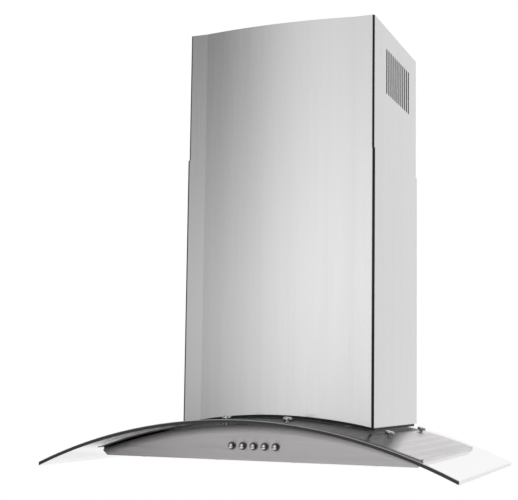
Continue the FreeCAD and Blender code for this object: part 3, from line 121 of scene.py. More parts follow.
# The room is a white cove, bright in front of the hood, behind it and straight to its sides,
# dim in between and darkest at the rear corners. The left is faded above the canopy, and a
# black screen stands low there. What the camera sees past the hood is plain white. Angles are
# degrees round the hood, 0 in front of it and 180 at the wall; heights run from -1, straight
# down, to 1, straight up.
ROOM_ROUND = [
    (-180, 1.0), (-168, 0.95), (-161, 0.15), (-140, 0.15), (-115, 0.5), (-90, 0.75), (-72, 0.4),
    (-60, 0.2), (-52, 0.36), (-43, 0.54), (-37, 0.62), (-30, 0.72), (-22, 0.86), (-15, 0.95),
    (-8, 1.0), (2, 1.0), (10, 0.8), (22, 0.35), (36, 0.22), (60, 0.35), (90, 0.75), (120, 0.5),
    (142, 0.2), (149, 0.4), (156, 0.7), (162, 0.81), (167, 0.82), (172, 1.0), (180, 1.0),
]
ROOM_FRONT_RISE = [
    (-1.0, 0.1), (-0.45, 0.12), (-0.2, 0.25), (-0.1, 0.55), (-0.03, 0.85), (0.0, 0.93),
    (0.08, 1.0), (0.17, 0.93), (0.24, 0.855), (0.31, 0.75), (0.6, 0.7), (1.0, 0.95),
]
LEFT_FADE = [(-100, 0.0), (-60, 0.6), (-43, 0.55), (-30, 0.36), (-22, 0.14), (-10, 0.0)]
LEFT_FADE_HEIGHT = (0.06, 0.32)
LOW_SCREEN = [(-60, 0.0), (-52, 0.95), (-28.8, 0.95), (-27.4, 0.0)]
LOW_SCREEN_TOP = (-0.11, -0.06)
BEHIND_HOOD = [(-125, 1.0), (-100, 0.0), (100, 0.0), (140, 1.0)]
GROUND_GLOW = 0.95
GROUND_TOP = (-0.29, -0.25)
room = bpy.data.worlds.new("white_cove")
bpy.context.scene.world = room
room.use_nodes = True
tree = room.node_tree
tree.nodes.clear()
ray = add(tree, "SeparateXYZ", {0: add(tree, "TexCoord").outputs["Generated"]})
ahead = calc(tree, "MULTIPLY", ray.outputs["Y"], -1.0)
azimuth = calc(tree, "ARCTAN2", ray.outputs["X"], ahead)
turn_share = spread(tree, azimuth, 0.0, 1.0, -math.pi, math.pi)
rise_share = spread(tree, ray.outputs["Z"], 0.0, 1.0, -1.0, 1.0)


def degrees_round(stops):
    """Stops in degrees, turned into shares of the full turn."""
    return [((angle + 180) / 360, tone) for angle, tone in stops]


def heights(stops):
    """Stops in heights, turned into shares of the way from straight down to straight up."""
    return [((rise + 1) / 2, tone) for rise, tone in stops]


wall = ramp(tree, turn_share, degrees_round(ROOM_ROUND))
behind = ramp(tree, turn_share, degrees_round(BEHIND_HOOD))
front_rise = ramp(tree, rise_share, heights(ROOM_FRONT_RISE))
rise = add(tree, "Mix", {0: behind, 2: front_rise, 3: 1.0}).outputs[0]
up = spread(tree, ray.outputs["Z"], 0.0, 1.0, *LEFT_FADE_HEIGHT)
fade = calc(tree, "MULTIPLY", ramp(tree, turn_share, degrees_round(LEFT_FADE)), up)
low_screen = ramp(tree, turn_share, degrees_round(LOW_SCREEN))
down = spread(tree, ray.outputs["Z"], 1.0, 0.0, *LOW_SCREEN_TOP)
fade = calc(tree, "MAXIMUM", fade, calc(tree, "MULTIPLY", low_screen, down))
kept = calc(tree, "SUBTRACT", 1.0, fade)
light = calc(tree, "MULTIPLY", calc(tree, "MULTIPLY", wall, rise), kept)
ground = spread(tree, ray.outputs["Z"], 1.0, 0.0, *GROUND_TOP)
glowing = calc(tree, "MULTIPLY", behind, ground)
light = add(tree, "Mix", {0: glowing, 2: light, 3: GROUND_GLOW}).outputs[0]
lit = add(tree, "Background", {"Color": light, "Strength": 1.0})
plain_white = add(tree, "Background", {"Color": (1, 1, 1, 1), "Strength": 1.0})
seen = add(tree, "LightPath").outputs["Is Camera Ray"]
either = add(tree, "MixShader", {0: seen, 1: lit.outputs[0], 2: plain_white.outputs[0]})
add(tree, "OutputWorld", {0: either.outputs[0]})


def finish(name):
    """A new material with its node tree and its principled shader."""
    material = bpy.data.materials.new(name)
    material.use_nodes = True
    return material, material.node_tree, material.node_tree.nodes["Principled BSDF"]


# A pale painted floor, well below the hood, which hangs on its wall. It glows a little, and it
# is clear from below, so that the hood's underside shows past it.
FLOOR_LEVEL = -0.95
FLOOR_HALF = 2.2
FLOOR_GLOW = 0.4
floor_mesh = bpy.data.meshes.new("studio_floor")
floor_corners = [(side * FLOOR_HALF, end * FLOOR_HALF, FLOOR_LEVEL)
                 for side, end in ((-1, -1), (1, -1), (1, 1), (-1, 1))]
floor_mesh.from_pydata(floor_corners, [], [(0, 1, 2, 3)])
floor = bpy.data.objects.new("studio_floor", floor_mesh)
bpy.context.scene.collection.objects.link(floor)
pale, tree, shader = finish("pale_floor")
put(shader, "Base Color", (0.9, 0.9, 0.9, 1))
put(shader, "Roughness", 0.8)
put(shader, "Emission Color", (1, 1, 1, 1))
put(shader, "Emission Strength", FLOOR_GLOW)
from_under = add(tree, "NewGeometry").outputs["Backfacing"]
one_sided = add(tree, "MixShader", {
    0: from_under, 1: shader.outputs[0], 2: add(tree, "BsdfTransparent").outputs[0],
})
put(tree.nodes["Material Output"], "Surface", one_sided.outputs[0])
floor_mesh.materials.append(pale)


def noise(tree, scale, detail=3.0, roughness=0.55):
    """Noise in the object's own metres; scale is a number or one for each axis."""
    place = add(tree, "TexCoord").outputs["Object"]
    if isinstance(scale, tuple):
        place = add(tree, "Mapping", {"Vector": place, "Scale": scale}).outputs[0]
        scale = 1.0
    sockets = {"Vector": place, "Scale": scale, "Detail": detail, "Roughness": roughness}
    return add(tree, "TexNoise", sockets).outputs[0]


NOISE_SPAN = (0.3, 0.7)


def varied(tree, grain, low, high):
    """low to high, as the grain goes through the span that holds most of a noise."""
    return spread(tree, grain, low, high, *NOISE_SPAN)


def tinted(tree, tone, *shades):
    """The colour tone times every shade."""
    strength = shades[0]
    for shade in shades[1:]:
        strength = calc(tree, "MULTIPLY", strength, shade)
    colour = add(tree, "VectorMath", {0: tone, "Scale": strength}, operation="SCALE")
    return colour.outputs[0]


def raised(tree, height, depth, strength=1.0):
    """A bumped normal from height times depth in metres."""
    bump = add(tree, "Bump", {"Height": height, "Strength": strength, "Distance": depth})
    return bump.outputs[0]


LINES_ALONG, LINES_ACROSS = 8.0, 1500.0
BANDS_ALONG, BANDS_ACROSS, BAND_SHADE = 1.2, 55.0, 0.015
GRAIN_GLOSS, GRAIN_DEPTH, GRAIN_STRENGTH = 0.04, 0.00002, 0.12
OFF_AXIS = 0.03


def brushed(name, tone, roughness, along, stretch, streak=0.035):
    """Steel brushed along one axis: fine lines, broad faint bands, and gloss spread across them."""
    steel, tree, shader = finish(name)
    line_scale = tuple(LINES_ALONG if axis == along else LINES_ACROSS for axis in range(3))
    band_scale = tuple(BANDS_ALONG if axis == along else BANDS_ACROSS for axis in range(3))
    lines = noise(tree, line_scale, 4.0, 0.7)
    bands = noise(tree, band_scale, 2.0)
    fine = varied(tree, lines, 1 - streak, 1 + streak)
    broad = varied(tree, bands, 1 - BAND_SHADE, 1 + BAND_SHADE)
    put(shader, "Base Color", tinted(tree, tone, fine, broad))
    put(shader, "Metallic", 1.0)
    put(shader, "Roughness", varied(tree, lines, roughness - GRAIN_GLOSS, roughness + GRAIN_GLOSS))
    put(shader, "Normal", raised(tree, lines, GRAIN_DEPTH, GRAIN_STRENGTH))
    put(shader, "Anisotropic", stretch)
    normal = add(tree, "NewGeometry").outputs["True Normal"]
    # a little off its axis, so that the product is never zero
    grain = tuple(1.0 if axis == along else OFF_AXIS for axis in range(3))
    across = add(tree, "VectorMath", {0: normal, 1: grain}, operation="CROSS_PRODUCT")
    put(shader, "Tangent", across.outputs[0])
    return steel, tree, shader


def wear(material, *names):
    """The named CAD pieces take this material."""
    for name in names:
        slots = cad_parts[name].data.materials
        slots.clear()
        slots.append(material)


# Canopy body ---------------------------------------------------------------------------------
# A shallow steel pan with slanted lips, and a flat front panel that stands on its floor. Both
# are satin stainless sheet with the grain running across the hood.

# The panel takes the light as if its top leaned forward. Its colour is painted darker just
# below its top edge: painted shade under the arched plate.
PANEL_LEAN = math.tan(math.radians(3.5))
PLATE_UNDER_RADIUS = 0.873
OVERHANG_SHADE = (0.002, 0.015)
panel_steel, tree, shader = brushed("panel_steel", (0.86, 0.825, 0.84), 0.2, 0, 1.0)
spot = add(tree, "SeparateXYZ", {0: add(tree, "TexCoord").outputs["Object"]})
grain_bump = shader.inputs["Normal"].links[0].from_node
lean = calc(tree, "MULTIPLY", spot.outputs["Z"], PANEL_LEAN)
put(grain_bump, "Normal", raised(tree, lean, 1.0))
sag = calc(tree, "DIVIDE", calc(tree, "POWER", spot.outputs["X"], 2.0), 2 * PLATE_UNDER_RADIUS)
panel_top = calc(tree, "SUBTRACT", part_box("front_panel")[1].z, sag)
below = calc(tree, "SUBTRACT", panel_top, spot.outputs["Z"])
shade = spread(tree, below, 0.2, 1.0, *OVERHANG_SHADE)
satin = shader.inputs["Base Color"].links[0].from_socket
put(shader, "Base Color", tinted(tree, satin, shade))
wear(panel_steel, "front_panel")
pan_steel = brushed("pan_steel", (0.95, 0.94, 0.95), 0.33, 0, 0.6)[0]
wear(pan_steel, "canopy_pan")


# Sheet screws --------------------------------------------------------------------------------
# Zinc-plated pan heads with a pressed cross, turned threads below. They hold the front
# panel's foot, the chimney covers and the wall bracket.

SCREW_TURN = 28
LOW_HEAD = 0.0006
HEAD_SHARE = 0.47
# shares of the head's radius and of its height, from its foot to its flat top
HEAD_CURVE = ((1.0, 1.0), (1.0, 0.55), (0.93, 0.25), (0.72, 0.06), (0.45, 0.0))
THREAD_PITCH = 0.0009
THREAD_ROOT, POINT_WIDE, POINT_END = 0.8, 0.7, 0.2
CROSS_LONG, CROSS_WIDE, CROSS_DEEP = 0.0036, 0.0009, 0.0011
SHARP_EDGE = math.radians(35)


def lathe(profile, name, turn=SCREW_TURN):
    """A turned mesh about z from (radius, height) pairs, with a flat face at each end."""
    mesh = bpy.data.meshes.new(name)
    points, faces = [], []
    for radius, height in profile:
        for step in range(turn):
            angle = 2 * math.pi * step / turn
            points.append((radius * math.cos(angle), radius * math.sin(angle), height))
    for ring in range(len(profile) - 1):
        for step in range(turn):
            here, there = ring * turn + step, ring * turn + (step + 1) % turn
            faces.append((here, there, there + turn, here + turn))
    faces.append(tuple(reversed(range(turn))))
    faces.append(tuple(range(len(points) - turn, len(points))))
    mesh.from_pydata(points, [], faces)
    return mesh


def block(size, middle, name):
    """A box mesh: a cutter, or a flat pad."""
    mesh = bpy.data.meshes.new(name)
    shape = bmesh.new()
    bmesh.ops.create_cube(shape, size=1.0)
    bmesh.ops.scale(shape, vec=size, verts=shape.verts)
    bmesh.ops.translate(shape, vec=middle, verts=shape.verts)
    shape.to_mesh(mesh)
    shape.free()
    return mesh


def cut(mesh, cutters):
    """The mesh with each cutter taken out of it."""
    piece = bpy.data.objects.new("blank", mesh)
    bpy.context.scene.collection.objects.link(piece)
    tools = []
    for cutter in cutters:
        tool = bpy.data.objects.new("tool", cutter)
        bpy.context.scene.collection.objects.link(tool)
        taken = piece.modifiers.new("taken", "BOOLEAN")
        taken.operation, taken.solver, taken.object = "DIFFERENCE", "EXACT", tool
        tools.append(tool)
    ready = piece.evaluated_get(bpy.context.evaluated_depsgraph_get())
    result = bpy.data.meshes.new_from_object(ready)
    for spare in (piece, *tools):
        bpy.data.objects.remove(spare)
    return result


def islands(name):
    """Lowest and highest corners of each separate solid of a CAD piece."""
    shape = bmesh.new()
    shape.from_mesh(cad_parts[name].data)
    bmesh.ops.remove_doubles(shape, verts=shape.verts, dist=1e-6)
    left = set(shape.verts)
    found = []
    while left:
        heap = [left.pop()]
        corners = []
        while heap:
            corner = heap.pop()
            corners.append(corner.co.copy())
            for edge in corner.link_edges:
                other = edge.other_vert(corner)
                if other in left:
                    left.remove(other)
                    heap.append(other)
        low = Vector(min(corner[axis] for corner in corners) for axis in range(3))
        high = Vector(max(corner[axis] for corner in corners) for axis in range(3))
        found.append((low, high))
    shape.free()
    return sorted(found, key=lambda span: tuple(span[0]))


def assemble(name, meshes, material, body):
    """One piece from (mesh, transform) pairs, that rides on the body."""
    shape = bmesh.new()
    for mesh, move in meshes:
        part = bmesh.new()
        part.from_mesh(mesh)
        part.transform(move)
        spare = bpy.data.meshes.new("spare")
        part.to_mesh(spare)
        part.free()
        shape.from_mesh(spare)
        bpy.data.meshes.remove(spare)
    joined = bpy.data.meshes.new(name)
    shape.to_mesh(joined)
    shape.free()
    joined.materials.append(material)
    piece = bpy.data.objects.new(name, joined)
    bpy.context.scene.collection.objects.link(piece)
    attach(piece, body)
    return piece


def smoothed(piece):
    """Smooth shading that keeps the sharp edges."""
    piece.data.shade_smooth()
    piece.data.set_sharp_from_angle(angle=SHARP_EDGE)


def cross_screws(node, body, inward):
    """Cross-head screws in place of a CAD node; inward points from the head to the tip."""
    inward = Vector(inward)
    axis = max(range(3), key=lambda number: abs(inward[number]))
    pieces = []
    for low, high in islands(node):
        radius = (high - low)[(axis + 1) % 3] / 2
        length = (high - low)[axis] - LOW_HEAD
        head = radius * HEAD_SHARE - LOW_HEAD
        shank = radius / 2
        profile = [(shank * POINT_END, -length), (shank * POINT_WIDE, THREAD_PITCH - length)]
        depth = THREAD_PITCH * 1.5 - length
        while depth < -head - THREAD_PITCH:
            profile += [(shank, depth), (shank * THREAD_ROOT, depth + THREAD_PITCH / 2)]
            depth += THREAD_PITCH
        profile.append((shank, -head))
        profile += [(radius * wide, -head * deep) for wide, deep in HEAD_CURVE]
        arms = [
            block((CROSS_LONG, CROSS_WIDE, 2 * CROSS_DEEP), (0, 0, 0), "arm"),
            block((CROSS_WIDE, CROSS_LONG, 2 * CROSS_DEEP), (0, 0, 0), "arm"),
        ]
        screw = cut(lathe(profile, "screw"), arms)
        middle = (low + high) / 2
        middle[axis] = low[axis] + LOW_HEAD if inward[axis] > 0 else high[axis] - LOW_HEAD
        turn = Vector((0, 0, -1)).rotation_difference(inward).to_matrix().to_4x4()
        pieces.append((screw, Matrix.Translation(middle) @ turn))
    screws = assemble(node + "_cross", pieces, plated, body)
    smoothed(screws)
    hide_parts(node)


plated, tree, shader = finish("plated_screw")
mottle = noise(tree, 900.0)
put(shader, "Base Color", tinted(tree, (0.6, 0.61, 0.62), varied(tree, mottle, 0.88, 1.08)))
put(shader, "Metallic", 1.0)
put(shader, "Roughness", varied(tree, mottle, 0.22, 0.4))
put(shader, "Normal", raised(tree, noise(tree, 2500.0), 0.00002, 0.5))
cross_screws("panel_screws", "canopy", (0, 0, 1))
cross_screws("bracket_screws", "upper_chimney", (0, 1, 0))
cross_screws("cover_screws", "canopy", (0, 1, 0))
wear(plated, "motor_box_screws", "blower_screws", "glass_nuts", "collar_rivets", "damper_pins")


# Push buttons --------------------------------------------------------------------------------
# Five polished chrome caps, slightly domed, each in a smoked metal bezel that is clamped in the
# front panel. Behind the panel their stems run in a moulded switch block, on coil springs.

chrome, tree, shader = finish("chrome")
haze = noise(tree, 140.0, 4.0)
put(shader, "Base Color", tinted(tree, (0.72, 0.71, 0.72), varied(tree, haze, 0.96, 1.03)))
put(shader, "Metallic", 1.0)
put(shader, "Roughness", varied(tree, haze, 0.06, 0.13))
put(shader, "Normal", raised(tree, noise(tree, 420.0), 0.00001, 0.4))
BUTTONS = ("off", "light", "low", "medium", "high")
cap_chrome, tree, shader = finish("cap_chrome")
turned = add(tree, "SeparateXYZ", {0: add(tree, "NewGeometry").outputs["True Normal"]})
ahead = calc(tree, "MULTIPLY", turned.outputs["Y"], -1.0)
# Painted reflection: the caps' colour is darker where the dome turns away from the room.
painted_rim_shade = spread(tree, ahead, 0.12, 1.0, 0.8, 0.93)
scuffs = varied(tree, noise(tree, 900.0, 4.0), 0.93, 1.03)
put(shader, "Base Color", tinted(tree, (0.96, 0.94, 0.95), painted_rim_shade, scuffs))
put(shader, "Metallic", 1.0)
put(shader, "Roughness", varied(tree, noise(tree, 140.0, 4.0), 0.08, 0.15))
smoked, tree, shader = finish("smoked_bezel")
grime = noise(tree, 500.0, 3.0)
put(shader, "Base Color", tinted(tree, (0.2, 0.19, 0.195), varied(tree, grime, 0.8, 1.2)))
put(shader, "Metallic", 0.6)
put(shader, "Roughness", varied(tree, grime, 0.2, 0.32))
wear(smoked, "button_bezels")
DOME_RISE, DOME_RINGS, CAP_TURN = 0.36, 12, 40
STEM_END, CAP_RIM = 0.0002, 0.9
for button in BUTTONS:
    name = "button_" + button
    low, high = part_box(name)
    middle = (low + high) / 2
    radius = (high.x - low.x) / 2
    shape = [corner.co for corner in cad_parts[name].data.vertices]
    reach = [(math.hypot(spot.x - middle.x, spot.z - middle.z), spot.y) for spot in shape]
    stem = max(wide for wide, y in reach if y > high.y - STEM_END)
    cap_back = max(y for wide, y in reach if wide > radius * CAP_RIM) - low.y
    ball = radius * (1 + DOME_RISE ** 2) / (2 * DOME_RISE)
    profile = [(stem, low.y - high.y), (stem, -cap_back), (radius, -cap_back)]
    for ring in range(DOME_RINGS):
        wide = radius * math.cos(math.pi / 2 * ring / DOME_RINGS)
        profile.append((wide, math.sqrt(ball ** 2 - wide ** 2) - ball))
    to_room = Vector((0, 0, 1)).rotation_difference(Vector((0, -1, 0))).to_matrix().to_4x4()
    move = Matrix.Translation((middle.x, low.y, middle.z)) @ to_room
    dome = lathe(profile, "cap", CAP_TURN)
    cap = assemble("cap_" + button, [(dome, move)], cap_chrome, "push_" + button)
    smoothed(cap)
    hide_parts(name)


def moulded(name, tone, roughness, texture=1400.0, depth=0.00003):
    """Moulded plastic with a fine spark-eroded texture and slight shade changes."""
    plastic, tree, shader = finish(name)
    grain = noise(tree, texture, 2.0)
    cloud = noise(tree, 18.0, 2.0)
    shades = varied(tree, grain, 0.92, 1.08), varied(tree, cloud, 0.94, 1.06)
    put(shader, "Base Color", tinted(tree, tone, *shades))
    put(shader, "Roughness", varied(tree, cloud, roughness - 0.06, roughness + 0.06))
    put(shader, "Normal", raised(tree, grain, depth))
    return plastic


black_plastic = moulded("black_plastic", (0.025, 0.025, 0.028), 0.5)
grey_plastic = moulded("grey_plastic", (0.22, 0.23, 0.24), 0.48)
wear(black_plastic, "switch_block")

SPRING_WIRE, SPRING_TURNS, SPRING_STEPS = 0.00025, 4, 16
spring_low, spring_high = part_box("button_springs")
spring_radius = (spring_high.z - spring_low.z) / 2 - SPRING_WIRE
for button, (low, high) in zip(BUTTONS, islands("button_springs")):
    middle = (low + high) / 2
    wire = bpy.data.curves.new("spring_" + button, "CURVE")
    wire.dimensions, wire.bevel_depth, wire.bevel_resolution = "3D", SPRING_WIRE, 3
    coil = wire.splines.new("NURBS")
    steps = SPRING_TURNS * SPRING_STEPS
    coil.points.add(steps)
    for step in range(steps + 1):
        angle = 2 * math.pi * step / SPRING_STEPS
        reach = low.y + SPRING_WIRE + (high.y - low.y - 2 * SPRING_WIRE) * step / steps
        side, rise = spring_radius * math.cos(angle), spring_radius * math.sin(angle)
        coil.points[step].co = (middle.x + side, reach, middle.z + rise, 1)
    coil.use_endpoint_u = True
    bent = bpy.data.objects.new("bent_wire", wire)
    bpy.context.scene.collection.objects.link(bent)
    ready = bent.evaluated_get(bpy.context.evaluated_depsgraph_get())
    coiled = bpy.data.meshes.new_from_object(ready)
    bpy.data.objects.remove(bent)
    spring = assemble("spring_" + button, [(coiled, Matrix())], plated, "canopy")
    spring.data.shade_smooth()
    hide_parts("button_springs")
    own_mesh(spring)


# Arched plate and glass ----------------------------------------------------------------------
# The plate is stainless sheet rolled to the canopy's arc, with the grain along the arc. The
# glass is one clear tempered sheet bent to the same arc, with ground side edges; its front edge
# is painted dark (painted shade) and its upper front bevel pale (a painted highlight). Chrome
# screw caps on rubber washers clamp both together.

# Painted shade and reflection: the plate's colour is darkened about the chimney's foot (a
# painted dark reflection of the chimney), close to the seal (a painted reflection of the seal)
# and underneath (painted shade).
CHIMNEY_HALF, CHIMNEY_DEEP = 0.185, 0.31
FOOT_SHADE, FOOT_SKEW = (0.156, 0.176), 0.2
SEAL_SHADE = (0.006, 0.014)
UNDERSIDE_SHADE = 0.12
plate_steel, tree, shader = brushed("plate_steel", (0.98, 0.97, 0.97), 0.3, 0, 0.9)
spot = add(tree, "SeparateXYZ", {0: add(tree, "TexCoord").outputs["Object"]})
skew = calc(tree, "MULTIPLY", spot.outputs["Y"], FOOT_SKEW)
across = calc(tree, "ADD", calc(tree, "ABSOLUTE", spot.outputs["X"]), skew)
shade = spread(tree, across, 0.1, 0.8, *FOOT_SHADE)
beside = calc(tree, "SUBTRACT", calc(tree, "ABSOLUTE", spot.outputs["X"]), CHIMNEY_HALF)
before = calc(tree, "SUBTRACT", -CHIMNEY_DEEP, spot.outputs["Y"])
from_seal = calc(tree, "MAXIMUM", beside, before)
shade = calc(tree, "MULTIPLY", shade, spread(tree, from_seal, 0.1, 1.0, *SEAL_SHADE))
facing = add(tree, "SeparateXYZ", {0: add(tree, "NewGeometry").outputs["True Normal"]})
underneath = calc(tree, "LESS_THAN", facing.outputs["Z"], -0.3)
shade = add(tree, "Mix", {0: underneath, 2: shade, 3: UNDERSIDE_SHADE}).outputs[0]
polish = shader.inputs["Base Color"].links[0].from_socket
put(shader, "Base Color", tinted(tree, polish, shade))
wear(plate_steel, "canopy_top_plate")
wear(chrome, "glass_screws")

# Each span is of one part of the surface's normal: towards the room, or upwards.
FRONT_EDGE, FRONT_GLINT = (0.55, 0.7), (0.3, 0.45)
EDGE_LEVEL, BEVEL_LEVEL = (0.45, 0.6), 0.4
SHEEN_FROM_BELOW, SHEEN_FROM_ABOVE = 0.8, 0.12
EDGE_FROST = 0.3
glass, tree, shader = finish("clear_glass")
surface = add(tree, "NewGeometry")
facing = add(tree, "SeparateXYZ", {0: surface.outputs["True Normal"]})
to_room = calc(tree, "MULTIPLY", facing.outputs["Y"], -1.0)
outer = calc(tree, "SUBTRACT", 1.0, surface.outputs["Backfacing"])
top_bevel = calc(tree, "GREATER_THAN", facing.outputs["Z"], BEVEL_LEVEL)
# Painted shade: front_edge paints the outer front edge dark.
towards = calc(tree, "MULTIPLY", spread(tree, to_room, 0.0, 1.0, *FRONT_EDGE), outer)
front_edge = calc(tree, "MULTIPLY", towards, calc(tree, "SUBTRACT", 1.0, top_bevel))
# Painted highlight: glint makes the upper front bevel pale and frosted.
glint = calc(tree, "MULTIPLY", spread(tree, to_room, 0.0, 1.0, *FRONT_GLINT), outer)
glint = calc(tree, "MULTIPLY", glint, top_bevel)
level = calc(tree, "ABSOLUTE", facing.outputs["Z"])
any_edge = spread(tree, level, 1.0, 0.0, *EDGE_LEVEL)
clear = add(tree, "BsdfTransparent", {"Color": (0.97, 0.965, 0.967, 1)})
shine = add(tree, "BsdfAnisotropic", {"Color": (1, 1, 1, 1), "Roughness": 0.03})
slant = add(tree, "LayerWeight", {"Blend": 0.5}).outputs["Facing"]
grazing = spread(tree, calc(tree, "POWER", slant, 5.0), 0.04, 1.0)
seen_side = spread(tree, facing.outputs["Z"], SHEEN_FROM_BELOW, SHEEN_FROM_ABOVE, -0.3, 0.3)
sheen = calc(tree, "MULTIPLY", grazing, seen_side)
sheet = add(tree, "MixShader", {0: sheen, 1: clear.outputs[0], 2: shine.outputs[0]})
put(shader, "Base Color", (0.9, 0.92, 0.91, 1))
put(shader, "Roughness", varied(tree, noise(tree, 700.0), 0.25, 0.4))
frost_and_glint = calc(tree, "MAXIMUM", calc(tree, "MULTIPLY", outer, EDGE_FROST), glint)
any_edge = calc(tree, "MAXIMUM", any_edge, glint)
ground = add(tree, "MixShader", {0: frost_and_glint, 1: clear.outputs[0], 2: shader.outputs[0]})
edge_shade_noise = varied(tree, noise(tree, 260.0), 0.85, 1.15)
dark_tone = tinted(tree, (0.055, 0.055, 0.056), edge_shade_noise)
dark = add(tree, "BsdfPrincipled", {"Base Color": dark_tone, "Roughness": 0.3})
sides = add(tree, "MixShader", {0: any_edge, 1: sheet.outputs[0], 2: ground.outputs[0]})
whole = add(tree, "MixShader", {0: front_edge, 1: sides.outputs[0], 2: dark.outputs[0]})
put(tree.nodes["Material Output"], "Surface", whole.outputs[0])
wear(glass, "glass_canopy")

rubber, tree, shader = finish("black_rubber")
dust = noise(tree, 260.0, 4.0)
put(shader, "Base Color", tinted(tree, (0.012, 0.012, 0.012), spread(tree, dust, 0.8, 1.4, 0.3, 0.8)))
put(shader, "Roughness", varied(tree, dust, 0.45, 0.62))
put(shader, "Normal", raised(tree, noise(tree, 1800.0), 0.00003))
wear(rubber, "glass_washers")


# Motor box -----------------------------------------------------------------------------------
# Bent galvanised sheet, welded, with its arched foot. It carries the whole hood on the wall,
# and the two brackets on its sides hold the lower chimney cover.

zinc, tree, shader = finish("galvanised_sheet")
cells = add(tree, "TexVoronoi", {"Vector": add(tree, "TexCoord").outputs["Object"], "Scale": 90.0})
spangle = add(tree, "SeparateColor", {0: cells.outputs["Color"]}).outputs[0]
frost = noise(tree, 500.0)
shades = spread(tree, spangle, 0.86, 1.1), varied(tree, frost, 0.94, 1.06)
put(shader, "Base Color", tinted(tree, (0.58, 0.6, 0.62), *shades))
put(shader, "Metallic", 1.0)
put(shader, "Roughness", spread(tree, spangle, 0.34, 0.5))
put(shader, "Normal", raised(tree, frost, 0.00002))
wear(zinc, "motor_box", "motor_box_foot", "cover_brackets", "upper_wall_bracket", "outlet_collar")


# Blower --------------------------------------------------------------------------------------
# A moulded scroll in two halves with a double-inlet wheel. The painted motor hangs in one
# inlet on a steel ring with three arms, and its capacitor is clipped to the housing.

wear(black_plastic, "fan_wheel", "terminal_box", "cable_gland")
wear(grey_plastic, "blower_housing_left", "blower_housing_right")
motor_paint, tree, shader = finish("motor_paint")
peel = noise(tree, 650.0, 2.0)
chips = noise(tree, 75.0, 5.0, 0.7)
put(shader, "Base Color", tinted(tree, (0.07, 0.075, 0.08), spread(tree, chips, 0.85, 1.25, 0.3, 0.75)))
put(shader, "Roughness", varied(tree, chips, 0.3, 0.45))
put(shader, "Normal", raised(tree, peel, 0.00005))
wear(motor_paint, "motor")
wear(plated, "motor_shaft")
wear(zinc, "motor_bracket")
wear(moulded("capacitor_white", (0.75, 0.75, 0.72), 0.38, 500.0), "capacitor")


# Duct collar ---------------------------------------------------------------------------------
# A galvanised collar riveted on the motor box. Two half-round aluminium flaps turn on pins
# and fall shut against back draughts.


def mill_finish(name, tone, roughness, along):
    """Rolled aluminium: faint roll lines along one axis and blotches."""
    metal, tree, shader = finish(name)
    lines = noise(tree, tuple(10.0 if axis == along else 420.0 for axis in range(3)))
    blotch = noise(tree, 30.0, 4.0)
    shades = varied(tree, lines, 0.94, 1.05), varied(tree, blotch, 0.93, 1.05)
    put(shader, "Base Color", tinted(tree, tone, *shades))
    put(shader, "Metallic", 1.0)
    put(shader, "Roughness", varied(tree, blotch, roughness - 0.06, roughness + 0.08))
    put(shader, "Normal", raised(tree, lines, 0.00003, 0.5))
    return metal


aluminium = mill_finish("aluminium", (0.78, 0.79, 0.8), 0.36, 1)
wear(aluminium, "damper_flap_front", "damper_flap_rear")


# Chimney -------------------------------------------------------------------------------------
# Two covers folded from stainless sheet and brushed upright, the upper one nested in the
# lower. The front bows forward between two narrow strips, which catch the light as if they
# leaned back to the folds, and the folds are painted dark (painted shade). Inside, the sheet is
# dull and painted darker, and the cut edges along the sides, at the vent slots, are painted near
# black, both painted shade. A rubber strip seals the foot on the glass.

STRIP_START = 0.148
STRIP_LEAN = math.tan(math.radians(6.5))
CHIMNEY_MIDDLE = 0.155
SIDE_START, SLOT_START = 0.178, -0.285
INSIDE_SHADE, SLOT_EDGE_SHADE = 0.42, 0.05
FOLD_TURN, FOLD_SHADE = (0.18, 0.3), 0.05
cover_steel, tree, shader = brushed("cover_steel", (0.9, 0.9, 0.905), 0.24, 2, 0.45, 0.025)
place = add(tree, "TexCoord").outputs["Object"]
spot = add(tree, "SeparateXYZ", {0: place})
beyond = calc(tree, "SUBTRACT", calc(tree, "ABSOLUTE", spot.outputs["X"]), STRIP_START)
beyond = calc(tree, "MAXIMUM", beyond, 0.0)
lean = calc(tree, "MULTIPLY", beyond, -STRIP_LEAN)
grain_bump = shader.inputs["Normal"].links[0].from_node
put(grain_bump, "Normal", raised(tree, lean, 1.0))
from_middle = add(tree, "VectorMath", {0: place, 1: (0, CHIMNEY_MIDDLE, 0)}, operation="ADD")
normal = add(tree, "NewGeometry").outputs["True Normal"]
outward = add(tree, "VectorMath", {0: normal, 1: from_middle.outputs[0]}, operation="DOT_PRODUCT")
inside = calc(tree, "LESS_THAN", outward.outputs["Value"], 0.0)
turned = add(tree, "SeparateXYZ", {0: normal})
from_side = calc(tree, "ABSOLUTE", turned.outputs["X"])
cut_side = calc(tree, "LESS_THAN", from_side, 0.5)
sideways = calc(tree, "GREATER_THAN", calc(tree, "ABSOLUTE", spot.outputs["X"]), SIDE_START)
behind_front = calc(tree, "GREATER_THAN", spot.outputs["Y"], SLOT_START)
cut_edge = calc(tree, "MULTIPLY", calc(tree, "MULTIPLY", cut_side, sideways), behind_front)
hidden = calc(tree, "MAXIMUM", inside, cut_edge)
# Painted shade: inside faces are painted darker, and the cut edges in the sides near black.
inside_shade = spread(tree, cut_edge, INSIDE_SHADE, SLOT_EDGE_SHADE)
cloudy = varied(tree, noise(tree, 40.0, 4.0), 0.85, 1.1)
dull_shaded_inside = add(tree, "BsdfPrincipled", {
    "Base Color": tinted(tree, (1.0, 1.0, 1.02), inside_shade, cloudy), "Metallic": 0.8, "Roughness": 0.62,
})
